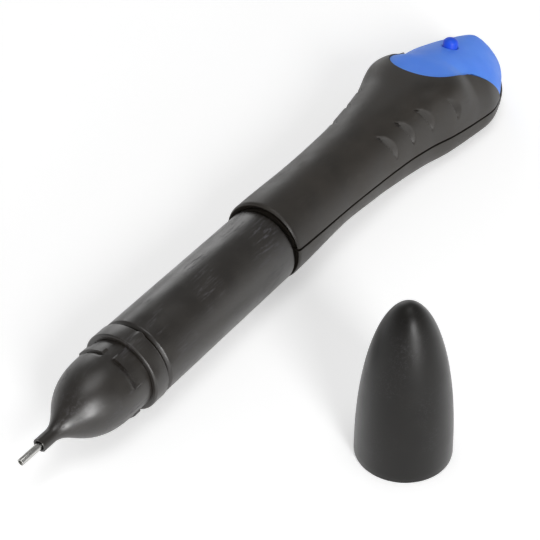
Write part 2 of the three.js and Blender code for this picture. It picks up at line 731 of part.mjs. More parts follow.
function buttonHole() {
  const radius = BUTTON_RADIUS + BUTTON_CLEARANCE;
  const length = 4 * BUTTON_FLANGE_DEPTH;
  const geometry = new THREE.CylinderGeometry(radius, radius, length, SMALL_ROUND);
  geometry.rotateX(Math.PI / 2);
  geometry.applyMatrix4(deckGroup().matrix);
  return solid(geometry);
}

function pushButton() {
  const points = [[0, -BUTTON_FLANGE_DEPTH - BUTTON_FLANGE_THICKNESS]];
  points.push([BUTTON_FLANGE_RADIUS, -BUTTON_FLANGE_DEPTH - BUTTON_FLANGE_THICKNESS]);
  points.push([BUTTON_FLANGE_RADIUS, -BUTTON_FLANGE_DEPTH], [BUTTON_RADIUS, -BUTTON_FLANGE_DEPTH]);
  for (let i = 0; i <= CURVE_STEPS; i += 1) {
    const turn = (Math.PI / 2) * (i / CURVE_STEPS);
    points.push([
      BUTTON_RADIUS - BUTTON_CROWN * (1 - Math.cos(turn)),
      BUTTON_STANDS_OUT - BUTTON_CROWN * (1 - Math.sin(turn)),
    ]);
  }
  points.push([0, BUTTON_STANDS_OUT]);
  return turned(points, SMALL_ROUND).rotate(90, 0, 0);
}

function switchBody() {
  const half = SWITCH_SIDE / 2;
  const box = block([-half, -half, switchTop - SWITCH_HEIGHT], [half, half, switchTop]);
  const sink = post(PLUNGER_RADIUS + DOOR_GAP, 0, 0,
    switchTop - PLUNGER_SUNK - PLUNGER_TRAVEL - FIT_GAP, switchTop + OVERCUT);
  return cut(box, sink);
}

function switchPlunger() {
  return post(PLUNGER_RADIUS, 0, 0, switchTop - PLUNGER_SUNK, switchTop + PLUNGER_STANDS_OUT);
}

function circuitBoard() {
  return block(
    [-BOARD_HALF_WIDTH, -BOARD_FRONT, boardTop - BOARD_THICKNESS],
    [BOARD_HALF_WIDTH, BOARD_BACK, boardTop]);
}

function seriesResistor() {
  const [width, length, height] = RESISTOR_SIZE;
  const [x, y] = RESISTOR_PLACE;
  const low = boardTop + DECK_GAP;
  return block([x - width / 2, y - length / 2, low], [x + width / 2, y + length / 2, low + height]);
}

function lampHeight() {
  return boardTop + LED_LIFT;
}

function uvLed() {
  const tip = LED_BACK + LED_FLANGE + LED_LENGTH;
  const points = [[0, LED_BACK], [LED_FLANGE_RADIUS, LED_BACK]];
  points.push([LED_FLANGE_RADIUS, LED_BACK + LED_FLANGE]);
  for (let i = 0; i <= CURVE_STEPS; i += 1) {
    const turn = (Math.PI / 2) * (i / CURVE_STEPS);
    points.push([LED_RADIUS * Math.cos(turn), tip - LED_RADIUS * (1 - Math.sin(turn))]);
  }
  return turned(points, SMALL_ROUND).translate(0, 0, lampHeight());
}

function ledLead(side) {
  const half = LEAD_THICKNESS / 2;
  const x = side * LEAD_SPREAD;
  const [from, to] = [SWITCH_SIDE / 2 + DECK_GAP, LED_BACK - DECK_GAP];
  const height = lampHeight();
  return block([x - half, from, height - half], [x + half, to, height + half]);
}

// Height of the board's underside above a place along the pen
function boardUnderside(at) {
  const lean = THREE.MathUtils.degToRad(BUTTON_LEAN);
  const depth = boardTop - BOARD_THICKNESS;
  const along = (at - buttonAt - depth * Math.sin(lean)) / Math.cos(lean);
  return BUTTON_SURFACE + depth * Math.cos(lean) - along * Math.sin(lean);
}

function batteryHolder() {
  const cup = post(holderBore + HOLDER_WALL, 0, cellAt, floorHeight, roofTop, ROUND);
  const well = post(holderBore, 0, cellAt, floorHeight - OVERCUT, roofBottom, ROUND);
  const postFoot = roofBottom + HOLDER_ROOF / 2;
  const postTop = (at) => boardUnderside(at + POST_RADIUS) - DECK_GAP;
  const posts = [frontPostAt, rearPostAt].flatMap((at) => [-1, 1].map(
    (side) => post(POST_RADIUS, side * POST_SPREAD, at, postFoot, postTop(at))));
  const slotHalf = CONTACT_WIDTH / 2 + FIT_GAP;
  const tabAt = cellAt - CONTACT_REACH / 2;
  const tabSlot = block(
    [-slotHalf, tabAt - FIT_GAP, roofBottom - OVERCUT],
    [slotHalf, tabAt + CONTACT_THICKNESS + FIT_GAP, roofTop + OVERCUT]);
  const sideHalf = SIDE_CONTACT_WIDTH / 2 + FIT_GAP;
  const sideSlot = block(
    [CELL_RADIUS, cellAt - sideHalf, floorHeight - OVERCUT],
    [CELL_RADIUS + 3 * FIT_GAP + CONTACT_THICKNESS, cellAt + sideHalf, roofTop + OVERCUT]);
  const slotted = cut(join(cup, ...posts), well, tabSlot, sideSlot);
  return slotted.intersect(handleHollow(SEAM_GAP));
}

function coinCell(number) {
  const low = cellBottom + number * CELL_HEIGHT;
  return post(CELL_RADIUS, 0, cellAt, low, low + CELL_HEIGHT, ROUND);
}

function roofContact() {
  const half = CONTACT_WIDTH / 2;
  const [front, back] = [cellAt - CONTACT_REACH / 2, cellAt + CONTACT_REACH / 2];
  const leaf = block([-half, front, cellTop], [half, back, cellTop + CONTACT_THICKNESS]);
  const top = boardUnderside(front + CONTACT_THICKNESS) - DECK_GAP;
  return join(leaf, block([-half, front, cellTop], [half, front + CONTACT_THICKNESS, top]));
}

function sideContact() {
  const half = SIDE_CONTACT_WIDTH / 2;
  const x = CELL_RADIUS + FIT_GAP;
  const top = boardUnderside(cellAt + half) - DECK_GAP;
  return block(
    [x, cellAt - half, cellBottom + CELL_HEIGHT / 2],
    [x + CONTACT_THICKNESS, cellAt + half, top]);
}

function batteryDoor() {
  const plate = slab(DOOR_WIDTH, DOOR_LENGTH, DOOR_CORNER, doorAt, -axisHeight, doorTop - FIT_GAP);
  const hole = post(SCREW_RADIUS + FIT_GAP, 0, doorScrewAt, -axisHeight - OVERCUT, doorTop + OVERCUT);
  const sink = post(SCREW_HEAD_RADIUS + FIT_GAP, 0, doorScrewAt, -axisHeight - OVERCUT,
    -axisHeight + DOOR_SCREW_HEAD + FIT_GAP);
  return cut(plate, hole, sink);
}

// A cross-head screw driven upwards, its head's lower face at the given height
function screw(x, y, base, headHeight, length) {
  const head = post(SCREW_HEAD_RADIUS, x, y, base, base + headHeight);
  const shank = post(SCREW_RADIUS, x, y, base + headHeight / 2, base + headHeight + length);
  const [arm, half] = [SCREW_RADIUS, RECESS_WIDTH / 2];
  const [low, high] = [base - OVERCUT, base + RECESS_DEPTH];
  const slots = [[arm, half], [half, arm]].map(
    ([w, l]) => block([x - w, y - l, low], [x + w, y + l, high]));
  return cut(join(head, shank), ...slots);
}

function shellScrew(place) {
  const seat = screwSeat(place);
  return screw(place.x, place.y, seat - SCREW_HEAD - FIT_GAP, SCREW_HEAD, SCREW_LENGTH);
}

function glueBottle() {
  const inner = BOTTLE_RADIUS - BOTTLE_WALL;
  const mouth = NECK_RADIUS - NECK_WALL;
  const tail = SPIGOT_RADIUS - SPIGOT_WALL;
  return turned([
    [mouth, neckFront], [NECK_RADIUS, neckFront], [NECK_RADIUS, bottleFront],
    [BOTTLE_RADIUS - BOTTLE_EDGE, bottleFront], [BOTTLE_RADIUS, bottleFront + BOTTLE_EDGE],
    [BOTTLE_RADIUS, bottleRear - BOTTLE_EDGE], [BOTTLE_RADIUS - BOTTLE_EDGE, bottleRear],
    [SPIGOT_RADIUS, bottleRear], [SPIGOT_RADIUS, spigotRear], [tail, spigotRear],
    [tail, bottleRear - BOTTLE_WALL], [inner, bottleRear - 2 * BOTTLE_WALL],
    [inner, bottleFront + 2 * BOTTLE_WALL], [mouth, bottleFront + BOTTLE_WALL], [mouth, neckFront],
  ]);
}

function bottlePlug() {
  const body = SPIGOT_RADIUS - SPIGOT_WALL - FIT_GAP;
  return turned([
    [0, spigotRear - PLUG_DEPTH], [body, spigotRear - PLUG_DEPTH], [body, spigotRear],
    [SPIGOT_RADIUS, spigotRear], [SPIGOT_RADIUS, spigotRear + PLUG_FLANGE], [0, spigotRear + PLUG_FLANGE],
  ]);
}

function glueFill() {
  const radius = BOTTLE_RADIUS - BOTTLE_WALL - FIT_GAP;
  return bar(radius, bottleFront + 2 * BOTTLE_WALL + FIT_GAP, bottleRear - 2 * BOTTLE_WALL - GLUE_AIR);
}

function collarRing() {
  const bore = NECK_RADIUS + FIT_GAP;
  return turned([
    [bore, ringFront], [RING_RADIUS - RING_EDGE, ringFront], [RING_RADIUS, ringFront + RING_EDGE],
    [RING_RADIUS, ringRear - RING_EDGE], [RING_RADIUS - RING_EDGE, ringRear], [bore, ringRear],
    [bore, ringFront],
  ]);
}

// Outline of the nozzle from its tip to its skirt: a straight tip, a flare and a dome
function nozzleOutline() {
  const [dome, flare] = [ringFront - NOZZLE_SKIRT, nozzleTip + NOZZLE_TIP_LENGTH];
  const shoulder = nozzleTip + NOZZLE_SHOULDER_BACK;
  const path = new THREE.Path();
  path.moveTo(NOZZLE_TIP_RADIUS, nozzleTip);
  path.lineTo(NOZZLE_TIP_RADIUS, flare);
  path.bezierCurveTo(NOZZLE_TIP_RADIUS, flare + NOZZLE_TIP_BEND,
    NOZZLE_SHOULDER_RADIUS - NOZZLE_SHOULDER_BEND_IN[0], shoulder - NOZZLE_SHOULDER_BEND_IN[1],
    NOZZLE_SHOULDER_RADIUS, shoulder);
  path.bezierCurveTo(
    NOZZLE_SHOULDER_RADIUS + NOZZLE_SHOULDER_BEND_OUT[0], shoulder + NOZZLE_SHOULDER_BEND_OUT[1],
    NOZZLE_RADIUS, dome - NOZZLE_DOME_BEND, NOZZLE_RADIUS, dome);
  path.lineTo(NOZZLE_RADIUS, ringFront);
  return path.getPoints(CURVE_STEPS).map((point) => [point.x, point.y]);
}

function capLug(first) {
  const [inner, outer] = [NOZZLE_RADIUS - NOZZLE_WALL / 2, NOZZLE_RADIUS + LUG_HEIGHT];
  const [from, to] = [first, first + LUG_SPAN].map(THREE.MathUtils.degToRad);
  const shape = new THREE.Shape();
  shape.absarc(0, 0, outer, from, to, false);
  shape.absarc(0, 0, inner, to, from, true);
  const geometry = new THREE.ExtrudeGeometry(shape, {
    depth: LUG_WIDTH,
    bevelEnabled: false,
    curveSegments: CURVE_STEPS,
  });
  geometry.rotateX(Math.PI / 2);
  geometry.translate(0, ringFront - LUG_BACK, 0);
  return solid(geometry);
}

function nozzle() {
  const bore = NECK_RADIUS + FIT_GAP;
  const needleBore = NEEDLE_RADIUS + FIT_GAP / 2;
  const throat = nozzleTip + NEEDLE_HELD;
  const body = turned([
    [needleBore, nozzleTip], ...nozzleOutline(), [bore, ringFront], [bore, sealFront],
    [NECK_RADIUS - NECK_WALL, sealFront],
    [NOZZLE_SHOULDER_RADIUS - 1.6 * NOZZLE_WALL, nozzleTip + NOZZLE_SHOULDER_BACK],
    [needleBore, throat], [needleBore, nozzleTip],
  ]);
  const lugs = [0, LUG_PITCH, 180, 180 + LUG_PITCH].map((turn) => capLug(LUG_FIRST + turn));
  return join(body, ...lugs);
}

function nozzleSeal() {
  const [inner, outer] = [NECK_RADIUS - NECK_WALL, NECK_RADIUS];
  return turned([[inner, sealFront], [outer, sealFront], [outer, neckFront], [inner, neckFront],
    [inner, sealFront]]);
}

function needle() {
  const bore = NEEDLE_RADIUS - NEEDLE_WALL;
  const [from, to] = [nozzleTip - NEEDLE_OUT, nozzleTip + NEEDLE_HELD - FIT_GAP];
  return turned([[bore, from], [NEEDLE_RADIUS, from], [NEEDLE_RADIUS, to], [bore, to], [bore, from]],
    SMALL_ROUND);
}

// Radius of the cap's outside at a height above its rim
function capRadiusAt(height) {
  return CAP_RADIUS * Math.sqrt(Math.max(0, 1 - (height / CAP_HEIGHT) ** CAP_FULLNESS));
}

function capShell() {
  const outside = [];
  for (let i = 0; i <= CAP_STEPS; i += 1) {
    const height = CAP_HEIGHT * Math.sin((Math.PI / 2) * (i / CAP_STEPS));
    outside.push([capRadiusAt(height), height]);
  }
  const mouth = NOZZLE_RADIUS + LUG_HEIGHT + CAP_MOUTH_CLEARANCE;
  const inside = [[mouth, 0], [mouth, CAP_MOUTH_DEPTH]];
  const inner = CAP_STEPS / 2;
  for (let i = 1; i <= inner; i += 1) {
    const height = CAP_MOUTH_DEPTH + ((capSealFrom - CAP_MOUTH_DEPTH) * i) / inner;
    inside.push([Math.min(mouth, capRadiusAt(height) - CAP_WALL), height]);
  }
  const seat = CAP_SEAL_RADIUS + FIT_GAP;
  const top = capSealFrom + CAP_SEAL_LENGTH + FIT_GAP;
  inside.push([seat, capSealFrom], [seat, top], [0, top]);
  return turned([...inside.reverse(), ...outside]).rotate(90, 0, 0);
}

function capSeal() {
  const [low, high] = [capSealFrom, capSealFrom + CAP_SEAL_LENGTH];
  const depth = low + CAP_SEAL_BORE_DEPTH;
  return turned([[0, depth], [CAP_SEAL_BORE, depth], [CAP_SEAL_BORE, low], [CAP_SEAL_RADIUS, low],
    [CAP_SEAL_RADIUS, high], [0, high]], SMALL_ROUND).rotate(90, 0, 0);
}

function buildDeck() {
  const deck = deckGroup();
  deck.add(piece('push_button', pushButton(), deepBlue));
  deck.add(piece('switch_plunger', switchPlunger(), black));
  deck.add(piece('switch_body', switchBody(), nickel));
  deck.add(piece('circuit_board', circuitBoard(), boardGreen));
  deck.add(piece('series_resistor', seriesResistor(), black));
  deck.add(piece('uv_led', uvLed(), lampClear));
  deck.add(piece('led_lead_left', ledLead(-1), nickel));
  deck.add(piece('led_lead_right', ledLead(1), nickel));
  return deck;
}

function buildPower() {
  const power = new THREE.Group();
  power.add(piece('battery_holder', batteryHolder(), white));
  for (let i = 0; i < CELL_COUNT; i += 1) {
    power.add(piece(`coin_cell_${i + 1}`, coinCell(i), nickel));
  }
  power.add(piece('contact_minus', roofContact(), nickel));
  power.add(piece('contact_plus', sideContact(), nickel));
  power.add(piece('battery_door', batteryDoor(), black));
  const doorShank = DOOR_SCREW_LENGTH - DOOR_SCREW_HEAD;
  const doorScrew = screw(0, doorScrewAt, -axisHeight, DOOR_SCREW_HEAD, doorShank);
  power.add(piece('door_screw', doorScrew, screwSteel));
  return power;
}

function buildBottle() {
  const bottle = new THREE.Group();
  bottle.add(piece('glue_bottle', glueBottle(), bottleBlack));
  bottle.add(piece('bottle_plug', bottlePlug(), bottleBlack));
  bottle.add(piece('glue_fill', glueFill(), clearGlue));
  bottle.add(piece('collar_ring', collarRing(), bottleBlack));
  bottle.add(piece('nozzle', nozzle(), bottleBlack));
  bottle.add(piece('nozzle_seal', nozzleSeal(), softSeal));
  bottle.add(piece('needle', needle(), steel));
  return bottle;
}

function buildHandle() {
  const handle = new THREE.Group();
  handle.add(piece('upper_shell', upperShell(), black));
  handle.add(piece('lower_shell', lowerShell(), black));
  handle.add(piece('end_cover', endCover(), blue));
  for (const place of shellScrews) {
    handle.add(piece(place.name, shellScrew(place), screwSteel));
  }
  return handle;
}

function buildCap() {
  const cap = new THREE.Group();
  cap.add(piece('cap_shell', capShell(), bottleBlack));
  cap.add(piece('cap_seal', capSeal(), softSeal));
  cap.position.set(CAP_PLACE[0], CAP_PLACE[1] - doorAt, 0);
  return cap;
}

const pen = new THREE.Group();
pen.add(buildBottle(), buildHandle(), buildPower(), buildDeck());
pen.position.set(0, -doorAt, axisHeight);

const gluePen = new THREE.Group();
gluePen.add(pen, buildCap());

export default gluePen;
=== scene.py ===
# %% [markdown]
# # A glue pen that cures its glue with light
# This lesson dresses a finished mechanical model of a small tool: a squeezable black
# bottle with a steel needle, plugged into a black handle whose tail swells into a hooded
# head with a blue lamp cover and a push button. A domed cap stands beside it.
# The mechanical model brings the right places and movements. Here each visible piece gets
# a finer skin and the plastic, steel and rubber that it is made of.

# %% Load the mechanical model
import math

import bmesh
import bpy
from mathutils import Matrix, Vector


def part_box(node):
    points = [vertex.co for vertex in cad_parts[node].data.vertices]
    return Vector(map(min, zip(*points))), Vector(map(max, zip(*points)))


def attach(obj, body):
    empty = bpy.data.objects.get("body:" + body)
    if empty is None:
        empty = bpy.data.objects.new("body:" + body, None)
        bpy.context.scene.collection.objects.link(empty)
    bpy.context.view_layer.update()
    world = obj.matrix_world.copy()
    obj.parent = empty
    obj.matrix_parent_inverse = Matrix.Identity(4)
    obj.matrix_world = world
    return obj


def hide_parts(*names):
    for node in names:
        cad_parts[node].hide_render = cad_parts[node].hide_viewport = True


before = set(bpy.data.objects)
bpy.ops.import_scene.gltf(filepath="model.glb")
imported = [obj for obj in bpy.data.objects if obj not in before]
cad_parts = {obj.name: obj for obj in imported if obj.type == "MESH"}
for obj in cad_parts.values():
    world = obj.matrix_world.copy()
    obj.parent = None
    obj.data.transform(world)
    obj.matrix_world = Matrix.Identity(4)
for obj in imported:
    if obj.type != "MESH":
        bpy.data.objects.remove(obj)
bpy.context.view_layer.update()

# %% [markdown]
# ## Places and units
# Blender counts in metres, and a drawing of a pen is easier to read in millimetres. One
# small function turns a place on the pen into a point of the scene. On the pen, `along` is
# zero at the handle's front rim and grows towards the tail, and `height` is zero on the
# axis of the bottle.

# %% A place on the pen
MM = 0.001
HANDLE_FRONT = -60.9
AXIS_HEIGHT = 7.65


def at(across, along, height):
    """A place on the pen, in millimetres, as a point of the scene."""
    return Vector((across * MM, (along + HANDLE_FRONT) * MM, (height + AXIS_HEIGHT) * MM))


print("bottle's axis starts at", tuple(round(value, 4) for value in at(0, 0, 0)))

# %% [markdown]
# ## Finishing a mesh
# Every piece ends the same way. Doubled points are merged, so that poles and seams close,
# normals are turned outwards, modifiers are applied, and faces are shaded smooth with
# sharp edges kept where the surface really turns. A small rounding on the edges catches a
# line of light, as a moulded part does.

# %% From a bmesh to a piece
SAME_POINT = 0.002


def closed(mesh):
    """Merges doubled points and turns the faces outwards."""
    bmesh.ops.remove_doubles(mesh, verts=mesh.verts, dist=SAME_POINT * MM)
    bmesh.ops.recalc_face_normals(mesh, faces=mesh.faces)
    return mesh


def as_object(mesh, name):
    """A bmesh as an object of the scene, at the origin."""
    data = bpy.data.meshes.new(name)
    mesh.to_mesh(data)
    mesh.free()
    piece = bpy.data.objects.new(name, data)
    bpy.context.scene.collection.objects.link(piece)
    return piece


def bake(piece):
    """Puts what the modifiers made into the piece's own mesh."""
    bpy.context.view_layer.update()
    shown = piece.evaluated_get(bpy.context.evaluated_depsgraph_get())
    finished = bpy.data.meshes.new_from_object(shown)
    piece.modifiers.clear()
    old = piece.data
    piece.data = finished
    bpy.data.meshes.remove(old)
    finished.name = piece.name


print("points closer than", SAME_POINT, "mm are one point")

# %% Modifiers that finish a piece
def rounded_edges(piece, width, angle=35, segments=3):
    """Rounds every edge that turns by more than an angle."""
    bevel = piece.modifiers.new("edge rounding", "BEVEL")
    bevel.width = width * MM
    bevel.segments = segments
    bevel.limit_method = "ANGLE"
    bevel.angle_limit = math.radians(angle)
    bevel.profile = 0.5
    bake(piece)


def thick(piece, thickness):
    """Gives a skin its wall, inwards."""
    wall = piece.modifiers.new("wall", "SOLIDIFY")
    wall.thickness = thickness * MM
    wall.offset = -1
    bake(piece)


def drilled(piece, cutter):
    """Cuts a hole and takes the drill away."""
    hole = piece.modifiers.new("hole", "BOOLEAN")
    hole.operation = "DIFFERENCE"
    hole.solver = "MANIFOLD"
    hole.object = cutter
    bake(piece)
    bpy.data.objects.remove(cutter)


def smooth(piece, angle=50):
    """Smooth shading that keeps real edges sharp."""
    piece.data.shade_smooth()
    piece.data.set_sharp_from_angle(angle=math.radians(angle))
    print(piece.name, len(piece.data.polygons), "faces")


print("a wall, a hole or a rounding is applied at once")

# %% [markdown]
# ## The handle's shape
# The handle is two moulded half shells. Its cross-section changes all along it: a round
# tube at the front, a slimmer waist, and a broad flat-topped head. A designer would draw a
# handful of sections and let a smooth skin run through them. The same idea is used here:
# each section is a rounded box, a superellipse, with its own half width, top, bottom, the
# level where it is widest, and how square it is above and below that level.

# %% Sections of the handle and the cover
# along: (half width, top, bottom below the axis, level, squareness above, squareness below)
HANDLE_SECTIONS = {
    0: (7.95, 8.45, 7.25, 0.5, 2, 2),
    0.5: (8.15, 8.85, 7.35, 0.6, 2, 2),
    1.3: (8.15, 8.85, 7.35, 0.6, 2, 2),
    18: (7.85, 8.4, 6.95, 0.9, 2, 2),
    30: (8.0, 8.6, 7.05, 0.4, 2.15, 2.4),
    38: (8.3, 9.2, 7.55, -0.2, 2.6, 2.7),
    46: (9.2, 9.6, 7.9, -0.8, 3.2, 3.0),
    53: (10.7, 10.0, 8.1, -1.3, 4.8, 3.3),
    62: (11.8, 10.0, 8.1, -1.9, 2, 3.5),
    66: (12.08, 9.5, 8.1, -2.2, 1.85, 3.6),
    73: (10.5, 8.5, 8.1, -2.5, 1.85, 3.6),
    79: (7.5, 7.5, 7.0, -2.5, 2, 3),
    83.3: (4.2, 6.5, 5.4, -2.5, 2, 2.4),
}
COVER_SECTIONS = {
    53: (10.4, 9.85, 5, -1, 4.8, 3),
    57.5: (11.1, 9.8, 5.8, -1.4, 3.3, 3),
    62: (11.4, 9.3, 6.4, -1.5, 2, 3),
    66.5: (11.7, 8.4, 6.5, -1.9, 1.9, 3),
    71: (10.8, 7.3, 6.5, -2.2, 1.9, 3),
    78.5: (7.6, 5.7, 6, -2.5, 1.6, 3),
    83.1: (4.8, 2.2, 5, -2.5, 1.4, 3),
}
HANDLE_LENGTH = 83.3
HANDLE_END, HANDLE_ROUNDING = 83.24, 1.6
COVER_LENGTH, COVER_ROUNDING = 83.1, 1.1
BASE = -AXIS_HEIGHT
print(len(HANDLE_SECTIONS), "sections of the handle,", len(COVER_SECTIONS), "of the cover")

# %% Parting line
SEAM_FRONT = 2.0
SEAM_FALL = 5.7
SEAM_GAP = 0.5


def seam(along):
    """Height of the parting line between the two half shells."""
    return SEAM_FRONT - SEAM_FALL * along / HANDLE_LENGTH


def upper_line(along):
    """Where the upper shell and the cover end, half a gap above the parting line."""
    return seam(along) + SEAM_GAP / 2


def lower_line(along):
    """Where the lower shell ends, half a gap below the parting line."""
    return seam(along) - SEAM_GAP / 2


print("the parting line falls from", seam(0), "to", round(seam(HANDLE_LENGTH), 2), "mm")

# %% Sections between the drawn ones
def blend_sections(sections, along):
    """The section at a place between the drawn ones, on a smooth curve with no overshoot."""
    places = list(sections)
    along = min(max(along, places[0]), places[-1])
    last = max(i for i in range(len(places) - 1) if places[i] <= along)
    values = []
    for key in range(len(sections[places[0]])):
        heights = [sections[place][key] for place in places]
        chords = [(heights[i + 1] - heights[i]) / (places[i + 1] - places[i])
                  for i in range(len(places) - 1)]
        slopes = [chords[0]]
        for before, after in zip(chords, chords[1:]):
            same = before * after > 0
            slopes.append(2 * before * after / (before + after) if same else 0.0)
        slopes.append(chords[-1])
        span = places[last + 1] - places[last]
        t = (along - places[last]) / span
        values.append(
            heights[last] * (2 * t**3 - 3 * t**2 + 1)
            + span * slopes[last] * (t**3 - 2 * t**2 + t)
            + heights[last + 1] * (3 * t**2 - 2 * t**3)
            + span * slopes[last + 1] * (t**3 - t**2))
    return values


def section_point(section, angle, inset=0.0):
    """Across and height of a point of a section, at an angle from the right, upwards."""
    half_width, top, bottom, level, above, below = section
    half_width -= inset
    side, rise = math.cos(angle), math.sin(angle)
    if rise >= 0:
        square, reach = above, top - inset - level
    else:
        square, reach = below, bottom - inset + level
    across = half_width * math.copysign(abs(side) ** (2 / square), side)
    return across, level + math.copysign(reach * abs(rise) ** (2 / square), rise)


WAIST = 18
print("section at the waist:",
      [round(value, 2) for value in blend_sections(HANDLE_SECTIONS, WAIST)])

# %% [markdown]
# ## A skin from a grid
# A plain grid is the easiest clean mesh to start from: its columns become lines along the
# handle and its rows become half sections. `half_section` spaces the points evenly round
# one half of a section, from one parting line to the other, so the faces stay square and
# shade well. The grid is then moved onto the shape, point by point.

# %% Half sections
HALVINGS = 40
FINE_POINTS = 360


def half_section(sections, along, line, upper, count, inset=0.0, floor=None):
    """Evenly spaced points of a section from the right parting line to the left one."""
    section = blend_sections(sections, along)
    low, high = -math.pi / 2, math.pi / 2
    for _ in range(HALVINGS):
        middle = (low + high) / 2
        if section_point(section, middle, inset)[1] < line:
            low = middle
        else:
            high = middle
    start = low
    end = math.pi - low if upper else -math.pi - low
    points = [section_point(section, start + (end - start) * i / FINE_POINTS, inset)
              for i in range(FINE_POINTS + 1)]
    if floor is not None:
        points = [(across, max(height, floor)) for across, height in points]
    lengths = [0.0]
    for (x0, z0), (x1, z1) in zip(points, points[1:]):
        lengths.append(lengths[-1] + math.hypot(x1 - x0, z1 - z0))
    spaced, i = [], 0
    for k in range(count):
        target = lengths[-1] * k / (count - 1)
        while i < FINE_POINTS - 1 and lengths[i + 1] < target:
            i += 1
        step = lengths[i + 1] - lengths[i]
        share = (target - lengths[i]) / step if step else 0.0
        spaced.append((points[i][0] + share * (points[i + 1][0] - points[i][0]),
                       points[i][1] + share * (points[i + 1][1] - points[i][1])))
    return spaced


front = half_section(HANDLE_SECTIONS, 0, upper_line(0), True, 3)
print("front rim, right, top and left:", [tuple(round(v, 2) for v in point) for point in front])

# %% A skin from a grid
def skin(name, columns, rows, place):
    """A grid whose point in column and row is put where `place` says, in pen millimetres."""
    mesh = bmesh.new()
    bmesh.ops.create_grid(mesh, x_segments=columns - 1, y_segments=rows - 1, size=1.0)
    for vert in mesh.verts:
        column = round((vert.co.x + 1) / 2 * (columns - 1))
        row = round((vert.co.y + 1) / 2 * (rows - 1))
        vert.co = at(*place(column, row))
    bmesh.ops.remove_doubles(mesh, verts=mesh.verts, dist=SAME_POINT * MM)
    mesh.normal_update()
    middle = sum((vert.co for vert in mesh.verts), Vector()) / len(mesh.verts)
    outwards = sum(face.normal.dot(face.calc_center_median() - middle) for face in mesh.faces)
    if outwards < 0:
        bmesh.ops.reverse_faces(mesh, faces=mesh.faces)
    return as_object(mesh, name)


print("a skin is a grid that is moved onto a shape")

# %% [markdown]
# ## The upper shell
# The upper half shell ends at the hood's opening: a round mouth seen from above, whose sides
# fall to the parting line behind. Each column of the grid runs from the front rim to the
# place where it meets that opening, and its rows lie close together at the rim, where the
# tube widens to a lip. Four slanted finger nicks are pressed into each side.
# They are steep in front and rise more softly behind, in a bow, so that the rear slope of
# each faces the light and shows as a bright crescent beside a dark line.

# %% Hood's opening
# The mouth from above is (across, along), and the opening's side is (along, height).
MOUTH = [(0.0, 52.6), (4.2, 52.6), (7.65, 54.2), (7.65, 59.0)]
HOOD_SIDE = [(59.0, 8.5), (64.5, 6.4), (69.5, 3.0), (72.0, seam(72.0))]
CURVE_STEPS = 120


def bezier(points, t):
    """A point on a cubic Bezier curve."""
    weights = ((1 - t) ** 3, 3 * t * (1 - t) ** 2, 3 * t**2 * (1 - t), t**3)
    return tuple(sum(w * point[k] for w, point in zip(weights, points)) for k in range(2))


MOUTH_CURVE = [bezier(MOUTH, i / CURVE_STEPS) for i in range(CURVE_STEPS + 1)]
SIDE_CURVE = [bezier(HOOD_SIDE, i / CURVE_STEPS) for i in range(CURVE_STEPS + 1)]


def follow(curve, place):
    """The value at a place on a curve of (place, value) points."""
    for (start, first), (end, last) in zip(curve, curve[1:]):
        if place < end:
            return first + (last - first) * (place - start) / (end - start)
    return curve[-1][1]


def in_opening(across, along, height, gap):
    """Whether a place lies in the hood's opening, drawn in all round by a gap."""
    along, height, side = along - gap, height - gap, abs(across) + gap
    in_mouth = side < MOUTH[-1][0] and along > follow(MOUTH_CURVE, side)
    above_side = along > HOOD_SIDE[0][0] and height > follow(SIDE_CURVE, along)
    return in_mouth or above_side or along > HOOD_SIDE[-1][0]


print("the hood's opening starts", MOUTH[0][1], "mm and ends", HOOD_SIDE[-1][0], "mm along")

# %% Finger nicks
GRIPS = [(33.2, 4.85), (39.0, 5.25), (44.9, 5.36), (52.4, 4.7)]
GRIP_LEAN = math.radians(-25)
GRIP_HALF_LENGTH = 3.2
GRIP_BOW = 0.7
GRIP_DEPTH = 0.95
GRIP_FRONT = 0.55
GRIP_REAR = 1.15
GRIP_TAPER = 2.5
GRIP_HOLLOW = 1.4
PRESS_LEVEL = -1.0


def nick_depth(along, height):
    """How deep a finger nick is pressed in at a place on the skin."""
    depth = 0.0
    for middle_along, middle_height in GRIPS:
        run, rise = along - middle_along, height - middle_height
        lengthwise = rise * math.cos(GRIP_LEAN) + run * math.sin(GRIP_LEAN)
        crosswise = run * math.cos(GRIP_LEAN) - rise * math.sin(GRIP_LEAN)
        share = abs(lengthwise) / GRIP_HALF_LENGTH
        if share >= 1:
            continue
        crosswise -= GRIP_BOW * (1 - share**2)
        ends = 1 - share**GRIP_TAPER
        front, rear = -GRIP_FRONT * ends, GRIP_REAR * ends
        if front < crosswise < rear:
            profile = crosswise / front if crosswise < 0 else crosswise / rear
            depth = max(depth, GRIP_DEPTH * ends * (1 - profile**GRIP_HOLLOW))
    return depth


def pressed(across, along, height, depth):
    """A place on the skin moved in by a depth, towards a line just below the axis."""
    rise = height - PRESS_LEVEL
    length = math.hypot(across, rise) or 1.0
    return across - depth * across / length, along, height - depth * rise / length


print(len(GRIPS), "nicks on each side,", GRIP_DEPTH, "mm deep")

# %% Tables of half sections
FINE_STEP = 0.25
SEARCH_FROM = 50.0
SEARCH_STEP = 0.5
SEARCH_END = 0.001


def section_table(sections, start, end, columns):
    """Upper half sections at every fine step of a stretch of the pen."""
    places = [start + i * FINE_STEP for i in range(int((end - start) / FINE_STEP) + 1)]
    return [half_section(sections, place, upper_line(place), True, columns)
            for place in places]


def on_table(table, column, along, start=0.0):
    """A column's place at any distance along, between two half sections of a table."""
    row = min(max((along - start) / FINE_STEP, 0.0), len(table) - 1.001)
    below, share = int(row), row - int(row)
    (x0, z0), (x1, z1) = table[below][column], table[below + 1][column]
    return x0 + share * (x1 - x0), z0 + share * (z1 - z0)


